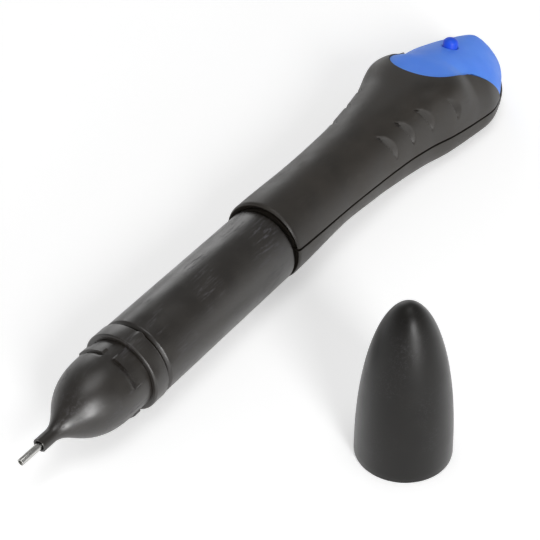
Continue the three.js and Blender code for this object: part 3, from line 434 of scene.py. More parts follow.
def crossing(table, column, gap, start=0.0):
    """Where a column first runs into the hood's opening, found in ever smaller steps."""
    along, step = SEARCH_FROM, SEARCH_STEP
    while step > SEARCH_END:
        across, height = on_table(table, column, along + step, start)
        if in_opening(across, along + step, height, gap):
            step /= 2
        else:
            along += step
    return along


print("half sections every", FINE_STEP, "mm")

# %% Upper shell
UPPER_COLUMNS = 151
UPPER_ROWS = 245
UPPER_TABLE_END = 73.0
RIM_ROWS = [0.0, 0.25, 0.5, 0.9, 1.3, 1.7]
UPPER_WALL = 1.35
SHELL_EDGE = 0.16
EDGE_ANGLE = 50
upper_table = section_table(HANDLE_SECTIONS, 0.0, UPPER_TABLE_END, UPPER_COLUMNS)
upper_ends = [crossing(upper_table, column, 0.0) for column in range(UPPER_COLUMNS)]


def upper_place(column, row):
    """A point of the upper shell: close rows at the rim, then even rows to the opening."""
    if row < len(RIM_ROWS):
        along = RIM_ROWS[row]
    else:
        share = (row - len(RIM_ROWS) + 1) / (UPPER_ROWS - len(RIM_ROWS))
        along = RIM_ROWS[-1] + share * (upper_ends[column] - RIM_ROWS[-1])
    across, height = on_table(upper_table, column, along)
    return pressed(across, along, height, nick_depth(along, height))


upper = skin("upper_half", UPPER_COLUMNS, UPPER_ROWS, upper_place)
thick(upper, UPPER_WALL)
rounded_edges(upper, SHELL_EDGE, EDGE_ANGLE)
smooth(upper)

# %% [markdown]
# ## The lower shell
# The lower half shell is the same idea below the parting line. It is cut flat underneath,
# where the head rests on the table, and closes round the tail, so its last rows draw in to
# one point. A door for the coin cells and three screws sit in its underside, in openings
# cut with simple drills.

# %% A rounded end
ROUNDING_ROWS = 7
WALL_ROWS = 8


def rounded_end(sections, end, rounding, line, upper, count, floor=None):
    """Half sections round the end's edge and over its flat wall to one point."""
    rows = []
    for i in range(1, ROUNDING_ROWS + 1):
        turn = math.pi / 2 * i / ROUNDING_ROWS
        along = end - rounding + rounding * math.sin(turn)
        inset = rounding * (1 - math.cos(turn))
        points = half_section(sections, along, line(along), upper, count, inset, floor)
        rows.append([(across, along, height) for across, height in points])
    rim, pole = rows[-1], (0.0, end, line(end))
    for i in range(1, WALL_ROWS + 1):
        share = 1 - i / WALL_ROWS
        rows.append([tuple(p + share * (q - p) for p, q in zip(pole, point)) for point in rim])
    return rows


print("an end has", ROUNDING_ROWS + WALL_ROWS, "rows")

# %% Lower shell
LOWER_COLUMNS = 121
LOWER_BODY_ROWS = 180
LOWER_WALL = 1.5
body_length = HANDLE_END - HANDLE_ROUNDING - RIM_ROWS[-1]
body_places = RIM_ROWS + [RIM_ROWS[-1] + body_length * i / LOWER_BODY_ROWS
                          for i in range(1, LOWER_BODY_ROWS + 1)]
lower_rows = []
for place in body_places:
    points = half_section(HANDLE_SECTIONS, place, lower_line(place), False, LOWER_COLUMNS,
                          floor=BASE)
    lower_rows.append([(across, place, height) for across, height in points])
lower_rows += rounded_end(HANDLE_SECTIONS, HANDLE_END, HANDLE_ROUNDING, lower_line, False,
                          LOWER_COLUMNS, BASE)
lower = skin("lower_half", LOWER_COLUMNS, len(lower_rows),
             lambda column, row: lower_rows[row][column])
thick(lower, LOWER_WALL)
rounded_edges(lower, SHELL_EDGE, EDGE_ANGLE)
print("the lower half has", len(lower_rows), "rows")

# %% Openings in the underside
# Screws are (across, along, height of the skin under them).
SHELL_SCREWS = [(0, 20, -6.95), (-5.6, 46.5, -7.65), (5.6, 46.5, -7.65)]
SCREW_BORE_RADIUS = 1.95
SCREW_BORE_DEPTH = 2.6
DRILL_FOOT = -9.0


def rod(radius, across, along, low, high, sides=64):
    """An upright round drill."""
    mesh = bmesh.new()
    bmesh.ops.create_cone(mesh, cap_ends=True, segments=sides, radius1=radius * MM,
                          radius2=radius * MM, depth=(high - low) * MM)
    bmesh.ops.translate(mesh, verts=mesh.verts, vec=at(across, along, (low + high) / 2))
    return as_object(mesh, "drill")


def door_drill(width, length, corner, along, low, high):
    """A drill with the outline of the door."""
    mesh = bmesh.new()
    bmesh.ops.create_cube(mesh, size=1.0)
    bmesh.ops.scale(mesh, verts=mesh.verts, vec=Vector((width, length, high - low)) * MM)
    bmesh.ops.translate(mesh, verts=mesh.verts, vec=at(0, along, (low + high) / 2))
    upright = [edge for edge in mesh.edges
               if abs(edge.verts[0].co.z - edge.verts[1].co.z) > 0.5 * (high - low) * MM]
    bmesh.ops.bevel(mesh, geom=upright, offset=corner * MM, segments=8, profile=0.5,
                    affect="EDGES", material=-1)
    return as_object(mesh, "drill")


drilled(lower, door_drill(width=14.3, length=20.9, corner=2.15, along=60.9,
                          low=DRILL_FOOT, high=-6.45))
drilled(lower, rod(radius=6.8, across=0, along=63, low=DRILL_FOOT, high=-4.0))
for across, along, base in SHELL_SCREWS:
    drilled(lower, rod(SCREW_BORE_RADIUS, across, along, DRILL_FOOT, base + SCREW_BORE_DEPTH))
smooth(lower)

# %% [markdown]
# ## The blue cover
# The cover is one translucent blue moulding. It slides under the hood's edge, so its skin
# starts there, dips by the hood's wall and runs on a little further, and the two never
# meet. It closes round the tail in the same way as the lower shell. A round hole is cut
# square to the surface for the push button.

# %% Blue cover
# Rows tucked under the hood are (distance in front of its edge, dip below the surface).
TUCKED = [(1.5, 1.5525), (0.1, 1.15), (0.05, 0.575)]
COVER_COLUMNS = 141
COVER_ROWS = 90
COVER_GAP = 0.12
COVER_WALL = 1.2
COVER_EDGE = 0.14
COVER_TABLE_START = 44.0
cover_table = section_table(COVER_SECTIONS, COVER_TABLE_START, COVER_LENGTH, COVER_COLUMNS)
cover_starts = [crossing(cover_table, column, COVER_GAP, COVER_TABLE_START)
                for column in range(COVER_COLUMNS)]
tail_rows = rounded_end(COVER_SECTIONS, COVER_LENGTH, COVER_ROUNDING, upper_line, True,
                        COVER_COLUMNS)


def cover_place(column, row):
    """A point of the cover: rows under the hood, rows over the top, rows of the end."""
    start = cover_starts[column]
    if row < len(TUCKED):
        back, dip = TUCKED[row]
        along = start - back
    elif row < len(TUCKED) + COVER_ROWS:
        share = (row - len(TUCKED)) / (COVER_ROWS - 1)
        along = start + share * (COVER_LENGTH - COVER_ROUNDING - start)
        dip = 0.0
    else:
        return tail_rows[row - len(TUCKED) - COVER_ROWS][column]
    across, height = on_table(cover_table, column, along, COVER_TABLE_START)
    return pressed(across, along, height, dip)


cover = skin("blue_cover", COVER_COLUMNS, len(TUCKED) + COVER_ROWS + len(tail_rows),
             cover_place)
thick(cover, COVER_WALL)
rounded_edges(cover, COVER_EDGE, EDGE_ANGLE)
print("the cover starts between", round(min(cover_starts), 1), "and",
      round(max(cover_starts), 1), "mm along")

# %% Button's hole
BUTTON_PLACE = at(0, 68.8, 7.9)
BUTTON_LEAN = math.radians(-16)
BUTTON_HOLE_RADIUS = 1.8
deck = Matrix.Translation(BUTTON_PLACE) @ Matrix.Rotation(BUTTON_LEAN, 4, "X")
mesh = bmesh.new()
bmesh.ops.create_cone(mesh, cap_ends=True, segments=96, radius1=BUTTON_HOLE_RADIUS * MM,
                      radius2=BUTTON_HOLE_RADIUS * MM, depth=10 * MM, matrix=deck)
drilled(cover, as_object(mesh, "drill"))
smooth(cover, 40)

# %% [markdown]
# ## Turned pieces
# The bottle, ring, nozzle, needle, button and cap are round. Each is drawn as half an
# outline, radius against distance, and spun once round its axis. A full spin merges its
# first and last step, and points that lie on the axis are merged to one pole afterwards.

# %% Spinning an outline
def spun(name, outline, axis_place, axis, edge=0.12, steps=128, angle=32):
    """Spins an outline of (radius, distance) round an axis, and rounds its edges."""
    mesh = bmesh.new()
    along = Vector(axis).normalized()
    out = along.orthogonal().normalized()
    verts = [mesh.verts.new(axis_place + out * radius * MM + along * distance * MM)
             for radius, distance in outline]
    edges = [mesh.edges.new(pair) for pair in zip(verts, verts[1:])]
    bmesh.ops.spin(mesh, geom=verts + edges, cent=axis_place, axis=along,
                   angle=math.tau, steps=steps, use_merge=True)
    piece = as_object(closed(mesh), name)
    if edge:
        rounded_edges(piece, edge, angle)
    return piece


PEN_AXIS = at(0, 0, 0)
BACKWARDS = (0, 1, 0)
print("turned pieces spin round", tuple(round(value, 4) for value in PEN_AXIS))

# %% Small marks on a turned piece
def round_place(vert):
    """A point's turn in degrees, its distance from the pen's axis and its place along."""
    place = vert.co - PEN_AXIS
    turn = math.degrees(math.atan2(place.z, place.x))
    return turn, place.xz.length / MM, vert.co.y / MM - HANDLE_FRONT


def push_out(vert, rise):
    """Moves a point away from the pen's axis."""
    place = vert.co - PEN_AXIS
    vert.co += Vector((place.x, 0, place.z)).normalized() * rise * MM


print("turns count from the pen's right side, upwards")

# %% [markdown]
# ## The socket
# With the bottle pulled out, one looks into the handle and sees the round socket in which the
# bottle's spigot slides. On the real part it is moulded in halves, one in each shell, so the
# turned tube is bisected at the parting plane and each half joins the mesh of its shell.

# %% Socket in two halves
SOCKET_OUTLINE = [(6.15, 0.6), (6.45, 0.3), (7.3, 0.3), (7.3, 11.0), (6.15, 11.0), (6.15, 0.6)]
socket = spun("socket", SOCKET_OUTLINE, PEN_AXIS, BACKWARDS, 0.0, 96)
PARTING = Vector((0, seam(0) - seam(1), 1)).normalized()
for shell, above, line in ((upper, True, upper_line), (lower, False, lower_line)):
    mesh = bmesh.new()
    mesh.from_mesh(socket.data)
    bmesh.ops.bisect_plane(mesh, geom=mesh.verts[:] + mesh.edges[:] + mesh.faces[:],
                           plane_co=at(0, 0, line(0)), plane_no=PARTING,
                           clear_inner=above, clear_outer=not above)
    bmesh.ops.holes_fill(mesh, edges=[edge for edge in mesh.edges if edge.is_boundary])
    mesh.from_mesh(shell.data)
    mesh.to_mesh(shell.data)
    mesh.free()
    smooth(shell)
bpy.data.objects.remove(socket)

# %% [markdown]
# ## The bottle and its ring
# The barrel is a blow-moulded tube of soft polyethylene that is squeezed to push the glue
# out. It narrows to a neck in front and to a spigot behind, which plugs into the handle.
# A moulded barrel always has a slight draft and a soft edge, so the corners are rounded
# instead of left sharp.

# %% Bottle
bottle = spun("bottle_barrel", [
    (4.3, -45.0), (5.6, -45.0), (5.6, -38.3), (6.95, -38.3), (7.5, -37.75), (7.5, -20.0),
    (7.5, -0.7), (7.1, -0.35), (6.0, -0.35), (6.0, 9.45), (5.0, 9.45), (5.0, -1.45),
    (6.4, -2.55), (6.4, -36.1), (4.3, -37.2), (4.3, -45.0)], PEN_AXIS, BACKWARDS, 0.14)
smooth(bottle)

# %% [markdown]
# The ring in front of the bottle is a separate narrow band with a crisp rear edge. A tiny
# burr from the mould sits on that edge, on the upper right side.

# %% Ring
ring = spun("collar_band", [
    (5.7, -42.3), (7.4, -42.3), (7.65, -42.05), (7.65, -39.0), (7.4, -38.75), (5.7, -38.75),
    (5.7, -42.3)], PEN_AXIS, BACKWARDS, 0.08)
BURR_TURN, BURR_REACH, BURR_RISE = 72, 7, 0.6
BURR_FRONT, BURR_INSIDE = -39.3, 7.3
for vert in ring.data.vertices:
    turn, radius, along = round_place(vert)
    away = abs(turn - BURR_TURN)
    if away < BURR_REACH and along > BURR_FRONT and radius > BURR_INSIDE:
        push_out(vert, BURR_RISE * (1 - away / BURR_REACH))
smooth(ring)

# %% [markdown]
# ## The nozzle
# The nozzle screws onto the bottle's neck: a short skirt, a dome and a slim tip with a
# flare between them. Raised lugs on the skirt hold the cap. The lugs are part of the same
# moulding, so the spun skin is raised there instead of adding loose blocks: rows are
# added on the skirt where a lug starts and ends, points inside a lug move outwards, and
# those right in front of it move in a little, which draws the dark line along its edge.

# %% Nozzle's outline
TIP = -63.3
FLARE_START = (1.25, -60.7)
SHOULDER = (4.4, -55.1)
SKIRT_RADIUS = 6.7
SKIRT_ROWS = [-45.97, -45.88, -45.75, -45.65, -44.75, -44.65, -44.5, -42.4]


def curve_points(points, count):
    """Even steps along a Bezier curve, without its first point."""
    return [bezier(points, i / count) for i in range(1, count + 1)]


tip = [(0.685, TIP + 1.0), (0.88, TIP + 1.0), (0.88, TIP + 0.05), (0.93, TIP), (1.19, TIP),
       (1.25, TIP + 0.06), FLARE_START]
flare = curve_points([FLARE_START, (1.25, -58.6), (3.2, -56.9), SHOULDER], 24)
dome = curve_points([SHOULDER, (6.1, -52.5), (SKIRT_RADIUS, -50.0), (SKIRT_RADIUS, -46.0)], 28)
skirt = [(SKIRT_RADIUS, along) for along in SKIRT_ROWS] + [(6.6, -42.3), (5.7, -42.3)]
inner = [(5.7, -45.8), (4.3, -45.8), (2.8, -55.1), (0.685, -57.9), (0.685, TIP + 1.0)]
nozzle = spun("nozzle_dome", tip + flare + dome + skirt + inner, PEN_AXIS, BACKWARDS, 0.0, 240)
print("the nozzle reaches from", TIP, "to", skirt[-1][1], "mm")

# %% Lugs on the skirt
# Each lug repeats on the other side, half a turn away. Angles are in degrees.
LUG_MIDDLES = (48, 120)
LUG_HALF_WIDTH = 28
LUG_END = 2.0
LUG_RISE, LUG_ROWS = 0.3, (-45.8, -44.6)
DIP_DEPTH, DIP_ROWS = 0.22, (-46.2, -45.85)
for vert in nozzle.data.vertices:
    turn, radius, along = round_place(vert)
    inside = LUG_HALF_WIDTH - min(abs(turn % 180 - middle) for middle in LUG_MIDDLES)
    if inside <= 0 or radius < SKIRT_RADIUS - 0.05:
        continue
    share = min(1.0, inside / LUG_END)
    if LUG_ROWS[0] < along < LUG_ROWS[1]:
        push_out(vert, LUG_RISE * share)
    elif DIP_ROWS[0] < along < DIP_ROWS[1]:
        push_out(vert, -DIP_DEPTH * share)
smooth(nozzle, 38)

# %% [markdown]
# ## The needle
# A dispensing needle is a length of drawn stainless tube with an open end, so the bore is
# modelled too, and the cut end is a bright little ring.

# %% Needle
BORE_RADIUS, TUBE_RADIUS = 0.42, 0.635
NEEDLE_TIP, NEEDLE_ROOT = -67.9, -58.0
needle = spun("steel_tube", [
    (BORE_RADIUS, NEEDLE_TIP), (TUBE_RADIUS, NEEDLE_TIP), (TUBE_RADIUS, NEEDLE_ROOT),
    (BORE_RADIUS, NEEDLE_ROOT), (BORE_RADIUS, NEEDLE_TIP)], PEN_AXIS, BACKWARDS, 0.05, 48)
smooth(needle)

# %% [markdown]
# ## The push button
# The button is a small crowned peg with a flange below the cover that keeps it in. Its
# crown is drawn as part of a circle, and it leans back with the surface around it.

# %% Button
PEG_RADIUS, PEG_TOP, CROWN_HEIGHT = 1.6, 1.9, 1.2
CROWN_STEPS = 14
crown = [(PEG_RADIUS * math.sin(turn), PEG_TOP - CROWN_HEIGHT * (1 - math.cos(turn)))
         for turn in [math.pi / 2 * i / CROWN_STEPS for i in range(CROWN_STEPS)]]
peg = crown + [(PEG_RADIUS, PEG_TOP - CROWN_HEIGHT), (PEG_RADIUS, -2.0), (2.6, -2.0),
               (2.6, -2.8), (0.0, -2.8)]
press_axis = deck.to_3x3() @ Vector((0, 0, 1))
button = spun("button_peg", peg, BUTTON_PLACE, press_axis, 0.0, 96)
smooth(button, 45)

# %% [markdown]
# ## The cap
# The cap stands on its open end beside the pen. It is a tall dome whose outline is close
# to an ellipse, so it is spun from a curve, with a wall all round and a short straight
# mouth that slides over the nozzle. Its rim has a small rounding.

# %% Cap
CAP_RADIUS, CAP_HEIGHT, CAP_FULLNESS = 8.2, 31.0, 2.15
CAP_WALL = 1.2
MOUTH_RADIUS, MOUTH_DEPTH = 7.1, 4.6
SEAL_RADIUS, SEAL_FROM, SEAL_TOP = 3.0, 22.2, 27.4
OUTER_STEPS, INNER_STEPS = 60, 24
CAP_AXIS = Vector((45.05 * MM, (-24.7 + HANDLE_FRONT) * MM, 0))


def cap_radius(height):
    """Outer radius of the cap at a height above its mouth."""
    return CAP_RADIUS * math.sqrt(max(0.0, 1 - (height / CAP_HEIGHT) ** CAP_FULLNESS))


outer_heights = [CAP_HEIGHT * math.sin(math.pi / 2 * i / OUTER_STEPS)
                 for i in range(2, OUTER_STEPS + 1)]
inner_heights = [MOUTH_DEPTH + (SEAL_FROM - MOUTH_DEPTH) * i / INNER_STEPS
                 for i in range(1, INNER_STEPS + 1)]
outside = [(cap_radius(height), height) for height in outer_heights]
inside = [(min(MOUTH_RADIUS, cap_radius(height) - CAP_WALL), height)
          for height in inner_heights]
rim = [(MOUTH_RADIUS, MOUTH_DEPTH), (MOUTH_RADIUS, 0.15), (7.25, 0.0), (8.0, 0.0),
       (8.15, 0.06), (CAP_RADIUS, 0.3)]
roof = [(0.0, SEAL_TOP), (SEAL_RADIUS, SEAL_TOP), (SEAL_RADIUS, SEAL_FROM)]
cap = spun("domed_cap", roof + inside[::-1] + rim + outside, CAP_AXIS, (0, 0, 1), 0.0, 160)
smooth(cap, 40)

# %% [markdown]
# ## Building materials from nodes
# All materials start from what the part is really made of: its usual index of refraction,
# how rough its surface is, and a colour picked as a paint chip would be. One function turns
# the chip's display colour into the linear values that a shader works with, and one adds a
# node with its settings and its links, so each material reads like a short recipe.
# Patterns are measured in millimetres on the object's own coordinates, which keeps them
# fixed to the piece when it moves.

# %% Node helpers
def linear(chip):
    """A display colour such as 4d78d8 as linear red, green, blue and opacity."""
    channels = [int(chip[i:i + 2], 16) / 255 for i in (0, 2, 4)]
    return tuple(value / 12.92 if value <= 0.04045 else ((value + 0.055) / 1.055) ** 2.4
                 for value in channels) + (1.0,)


def add(tree, kind, links=None, values=None, **settings):
    """Adds a node, sets its properties and socket values, and links outputs into it."""
    node = tree.nodes.new(kind)
    for name, value in settings.items():
        setattr(node, name, value)
    for socket, value in (values or {}).items():
        node.inputs[socket].default_value = value
    for socket, output in (links or {}).items():
        tree.links.new(output, node.inputs[socket])
    return node


def material(name):
    """A new material and its node tree, still empty."""
    made = bpy.data.materials.new(name)
    made.use_nodes = True
    made.node_tree.nodes.clear()
    return made, made.node_tree


print("one call adds a node with its values and links")

# %% Patterns and colours
def pattern(tree, size, detail=2.0, roughness=0.5, stretch=(1, 1, 1)):
    """Noise whose features are about `size` millimetres wide."""
    place = add(tree, "ShaderNodeTexCoord")
    turned = add(tree, "ShaderNodeMapping", {"Vector": place.outputs["Object"]},
                 {"Scale": stretch})
    noise = add(tree, "ShaderNodeTexNoise", {"Vector": turned.outputs["Vector"]},
                {"Scale": 1 / (size * MM), "Detail": detail, "Roughness": roughness})
    return noise.outputs["Fac"]


def between(tree, factor, low, high, start=0.0, end=1.0):
    """Spreads a pattern's values over a range of numbers."""
    spread = add(tree, "ShaderNodeMapRange", {"Value": factor},
                 {"From Min": start, "From Max": end, "To Min": low, "To Max": high})
    return spread.outputs["Result"]


def shades(tree, factor, *stops):
    """Colours along a pattern's values: (value, chip), (value, chip), ..."""
    ramp = add(tree, "ShaderNodeValToRGB", {"Fac": factor})
    band = ramp.color_ramp
    while len(band.elements) < len(stops):
        band.elements.new(0.5)
    for element, (value, chip) in zip(band.elements, stops):
        element.position = value
        element.color = linear(chip)
    return ramp.outputs["Color"]


def relief(tree, factor, depth):
    """A bump as deep as `depth` millimetres."""
    bump = add(tree, "ShaderNodeBump", {"Height": factor},
               {"Distance": depth * MM, "Strength": 1.0})
    return bump.outputs["Normal"]


def finish_with(made, tree, links, values):
    """Adds the surface shader and the output, and returns the finished material."""
    shader = add(tree, "ShaderNodeBsdfPrincipled", links, values)
    add(tree, "ShaderNodeOutputMaterial", {"Surface": shader.outputs["BSDF"]})
    return made


print("the chip 211d18 is", [round(value, 4) for value in linear("211d18")])

# %% [markdown]
# ## Black plastics
# The handle is injection-moulded ABS with a fine spark-eroded grain, which makes its gloss
# soft. The grain is about a tenth of a millimetre on the real mould and is drawn a little
# coarser, so that it survives in a picture of this size. Handling leaves faint hairline
# scuffs that are only a touch paler and rougher than the surface, and a cloudy change of
# gloss where fingers rub it smooth.
# The bottle, ring and nozzle are squeezable polyethylene: a waxier, slightly smoother black,
# with shallow flow marks along the barrel. The cap is the same plastic with a duller skin,
# and its colours are painted darker than the bottle's, as painted shade over the whole cap.
# The soft bloom that such a skin shows at its sides is a little sheen.

# %% Scuffs
SCUFF_RIDGE, SCUFF_HALF_WIDTH = 0.5, 0.02
SCUFF_STRETCH = (1.0, 0.07, 1.0)


def scuffs(tree, size, amount):
    """Thin faint scratches: a stretched noise cut to narrow ridges, only in some places."""
    lines = pattern(tree, size, 3.0, 0.6, SCUFF_STRETCH)
    ridge = between(tree, lines, 1.0, 0.0, SCUFF_RIDGE, SCUFF_RIDGE + SCUFF_HALF_WIDTH)
    other = between(tree, lines, 0.0, 1.0, SCUFF_RIDGE - SCUFF_HALF_WIDTH, SCUFF_RIDGE)
    narrow = add(tree, "ShaderNodeMath", {0: ridge, 1: other}, operation="MULTIPLY")
    where = between(tree, pattern(tree, 7.0), 0.0, amount, 0.45, 0.7)
    both = add(tree, "ShaderNodeMath", {0: narrow.outputs[0], 1: where}, operation="MULTIPLY",
               use_clamp=True)
    return both.outputs[0]


print("scuffs are stretched", round(1 / SCUFF_STRETCH[1]), "times along the pen")

# %% Black plastics
def black_plastic(name, dark, pale, scuff, gloss, grain_size, ior, level, scuffed, sheen=0.0):
    """Black with clouds of gloss, scuffs, a fine grain and, on a dull skin, a sheen."""
    made, tree = material(name)
    marks = scuffs(tree, 0.9, scuffed)
    cloud = pattern(tree, 5.0, 3.0)
    body = shades(tree, cloud, (0.3, dark), (0.75, pale))
    worn = add(tree, "ShaderNodeMix", {"Factor": marks, "A": body}, {"B": linear(scuff)},
               data_type="RGBA")
    rubbed = between(tree, cloud, gloss - 0.05, gloss + 0.06, 0.3, 0.7)
    rough = add(tree, "ShaderNodeMath", {0: rubbed, 1: marks}, operation="ADD",
                use_clamp=True)
    grain = relief(tree, pattern(tree, grain_size, 2.0, 0.55), 0.004)
    return finish_with(made, tree,
                       {"Base Color": worn.outputs["Result"], "Roughness": rough.outputs[0],
                        "Normal": grain},
                       {"IOR": ior, "Specular IOR Level": level, "Sheen Weight": sheen,
                        "Sheen Roughness": 0.4})


handle_black = black_plastic("grained_black_abs", dark="211d18", pale="29241e",
                             scuff="565450", gloss=0.46, grain_size=0.16, ior=1.54,
                             level=0.5, scuffed=0.22)
bottle_black = black_plastic("black_polyethylene", dark="1b1713", pale="231f1a",
                             scuff="5c5a60", gloss=0.34, grain_size=0.6, ior=1.51,
                             level=0.8, scuffed=0.7)
# The cap's two colours are darker than the bottle's: painted shade over the whole cap.
cap_black_painted_shade = black_plastic("black_cap_polyethylene_painted_shade", dark="0d0b09", pale="12100d",
                          scuff="5c5a60", gloss=0.38, grain_size=0.6, ior=1.51,
                          level=0.3, scuffed=0.2, sheen=0.27)
print(handle_black.name, bottle_black.name, cap_black_painted_shade.name)

# %% [markdown]
# ## Blue plastics
# The cover is a tinted translucent polycarbonate or polypropylene, so light enters it and
# comes out a little way off, which lifts the colour at thin edges. Subsurface scattering
# over about a millimetre gives the eye that. The button is the same family of blue, darker
# and more saturated, and opaque.

# %% Blue cover and button
def blue_plastic(name, deep, light, gloss, scatter, level):
    """Blue with faint clouds of colour and gloss, and light that comes out farther on."""
    made, tree = material(name)
    body = shades(tree, pattern(tree, 6.0), (0.3, deep), (0.7, light))
    rough = between(tree, pattern(tree, 2.0, 3.0), gloss - 0.04, gloss + 0.05, 0.3, 0.7)
    grain = relief(tree, pattern(tree, 0.3), 0.002)
    return finish_with(made, tree, {"Base Color": body, "Roughness": rough, "Normal": grain},
                       {"IOR": 1.5, "Specular IOR Level": level, "Subsurface Weight": scatter,
                        "Subsurface Radius": (0.4, 0.6, 1.0), "Subsurface Scale": 1.2 * MM})


cover_blue = blue_plastic("tinted_translucent_cover", deep="568cf8", light="5f94fd",
                          gloss=0.46, scatter=0.35, level=0.12)
button_blue = blue_plastic("deep_blue_button", deep="1c50dc", light="2259e4",
                           gloss=0.4, scatter=0.0, level=0.3)
print(cover_blue.name, button_blue.name)

# %% [markdown]
# ## Metals
# The needle is drawn stainless tube, bright with faint lines along its length. Coin cells,
# contacts and the lamp's legs are nickel plate, and the screws are zinc-plated steel. A
# metal keeps the default index of refraction, and its colour is its reflection.

# %% Steel, nickel and zinc
def plated(name, dark, light, gloss, line_size, stretch=(1, 1, 1)):
    """Metal whose colour, gloss and relief all follow one fine pattern."""
    made, tree = material(name)
    lines = pattern(tree, line_size, 3.0, 0.6, stretch)
    body = shades(tree, lines, (0.3, dark), (0.7, light))
    rough = between(tree, lines, gloss - 0.06, gloss + 0.08, 0.3, 0.7)
    marks = relief(tree, lines, 0.002)
    return finish_with(made, tree, {"Base Color": body, "Roughness": rough, "Normal": marks},
                       {"Metallic": 1.0})


drawn_steel = plated("drawn_stainless_tube", dark="b4b3b0", light="d2d1ce", gloss=0.22,
                     line_size=0.12, stretch=(1, 0.05, 1))
nickel_plate = plated("nickel_plate", dark="a9a69c", light="c6c3ba", gloss=0.30, line_size=0.5)
zinc_screw = plated("zinc_plated_screw", dark="7f8186", light="9ea0a4", gloss=0.36,
                    line_size=0.25)
print(drawn_steel.name, nickel_plate.name, zinc_screw.name)

# %% [markdown]
# ## Pieces inside
# The holder is white ABS, the board is green glass-fibre laminate with its solder mask,
# the resistor and the switch's peg are black moulded parts, the lamp is clear epoxy with a
# violet tint, the seals are grey silicone rubber, and the glue is a clear, faintly amber
# resin. They show only when the model is opened, and each still has its own finish.

# %% Inner materials
def moulded(name, dark, light, gloss, ior, grain_size, grain_depth):
    """A plain moulded or pressed part with a fine grain."""
    made, tree = material(name)
    body = shades(tree, pattern(tree, 3.0), (0.3, dark), (0.7, light))
    rough = between(tree, pattern(tree, 1.2), gloss - 0.05, gloss + 0.05, 0.3, 0.7)
    grain = relief(tree, pattern(tree, grain_size), grain_depth)
    return finish_with(made, tree, {"Base Color": body, "Roughness": rough, "Normal": grain},
                       {"IOR": ior})


def clear_resin(name, thin, deep, ior, gloss):
    """A clear resin with a faint tint."""
    made, tree = material(name)
    body = shades(tree, pattern(tree, 3.0), (0.3, thin), (0.7, deep))
    rough = between(tree, pattern(tree, 1.0), gloss, gloss + 0.05, 0.3, 0.7)
    return finish_with(made, tree, {"Base Color": body, "Roughness": rough},
                       {"IOR": ior, "Transmission Weight": 0.85})


white_abs = moulded("white_abs", dark="dcdad2", light="e6e4dc", gloss=0.5, ior=1.54,
                    grain_size=0.2, grain_depth=0.003)
laminate = moulded("green_glass_laminate", dark="17492c", light="1f5b37", gloss=0.45,
                   ior=1.5, grain_size=0.5, grain_depth=0.006)
silicone = moulded("grey_silicone_rubber", dark="a3a19a", light="b0aea7", gloss=0.65,
                   ior=1.41, grain_size=0.4, grain_depth=0.003)
small_black = moulded("black_moulded_part", dark="1c1c1c", light="262626", gloss=0.45,
                      ior=1.54, grain_size=0.2, grain_depth=0.003)
clear_glue = clear_resin("clear_resin_glue", thin="f1ecd6", deep="e6dfc0", ior=1.47,
                         gloss=0.04)
clear_lamp = clear_resin("clear_lamp_epoxy", thin="dad6f2", deep="cbc5ee", ior=1.5,
                         gloss=0.06)
print("inner materials:", white_abs.name, laminate.name, silicone.name)

# %% [markdown]
# ## Giving each piece its finish and its body
# A new piece takes the place of one solid of the mechanical model, rides on the same body,
# and names the record's material slot that it follows. Solids that are already right, such
# as screws and cells, stay and only get the better material in their own slots.

# %% New pieces
DRESSED = [
    (upper, "upper_shell", "handle", handle_black, "handle_plastic"),
    (lower, "lower_shell", "handle", handle_black, "handle_plastic"),
    (cover, "end_cover", "handle", cover_blue, "cover_plastic"),
    (bottle, "glue_bottle", "bottle", bottle_black, "bottle_plastic"),
    (ring, "collar_ring", "bottle", bottle_black, "bottle_plastic"),
    (nozzle, "nozzle", "bottle", bottle_black, "bottle_plastic"),
    (needle, "needle", "bottle", drawn_steel, "needle_steel"),
    (button, "push_button", "button", button_blue, "button_plastic"),
    (cap, "cap_shell", "cap", cap_black_painted_shade, "bottle_plastic"),
]
for piece, node, body, finish, slot in DRESSED:
    piece.data.materials.clear()
    piece.data.materials.append(finish)
    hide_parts(node)
    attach(piece, body)
    low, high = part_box(node)
    corners = [vert.co for vert in piece.data.vertices]
    stray = max(max(low[k] - min(corner[k] for corner in corners),
                    max(corner[k] for corner in corners) - high[k]) for k in range(3))
    print(piece.name, "for", node, "stands out by", round(stray / MM, 2), "mm")

# %% Solids that stay
STAYING = [
    (bottle_black, ["bottle_plug"]),
    (handle_black, ["battery_door"]),
    (small_black, ["switch_plunger", "series_resistor"]),
    (white_abs, ["battery_holder"]),
    (laminate, ["circuit_board"]),
    (nickel_plate, ["coin_cell_1", "coin_cell_2", "contact_minus", "contact_plus",
                    "switch_body", "led_lead_left", "led_lead_right"]),
    (zinc_screw, ["door_screw", "shell_screw_front", "shell_screw_left",
                  "shell_screw_right"]),
    (silicone, ["nozzle_seal", "cap_seal"]),
    (clear_glue, ["glue_fill"]),
    (clear_lamp, ["uv_led"]),
]
for finish, nodes in STAYING:
    for node in nodes:
        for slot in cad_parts[node].material_slots:
            slot.material = finish
print(sum(len(nodes) for finish, nodes in STAYING), "solids stay, of", len(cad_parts))

# %% [markdown]
# ## Floor and light
# The photograph is a plain product shot on white. The floor is a pale matte sheet that looks
# white to the camera and in reflections, and it still receives the shadow. The surroundings
# are white to the camera and behind clear pieces. Reflections see them pale near the horizon
# and dimmer overhead, as in a studio with bright walls and a dark ceiling, which draws pale
# bands along the sides of the black barrel and keeps its top dark. The white itself comes
# from Light Path, not from more light on the object. One broad soft lamp from the right gives
# the light a direction, a low one beside it grazes the finger nicks, and weaker ones fill
# from the left and from above.

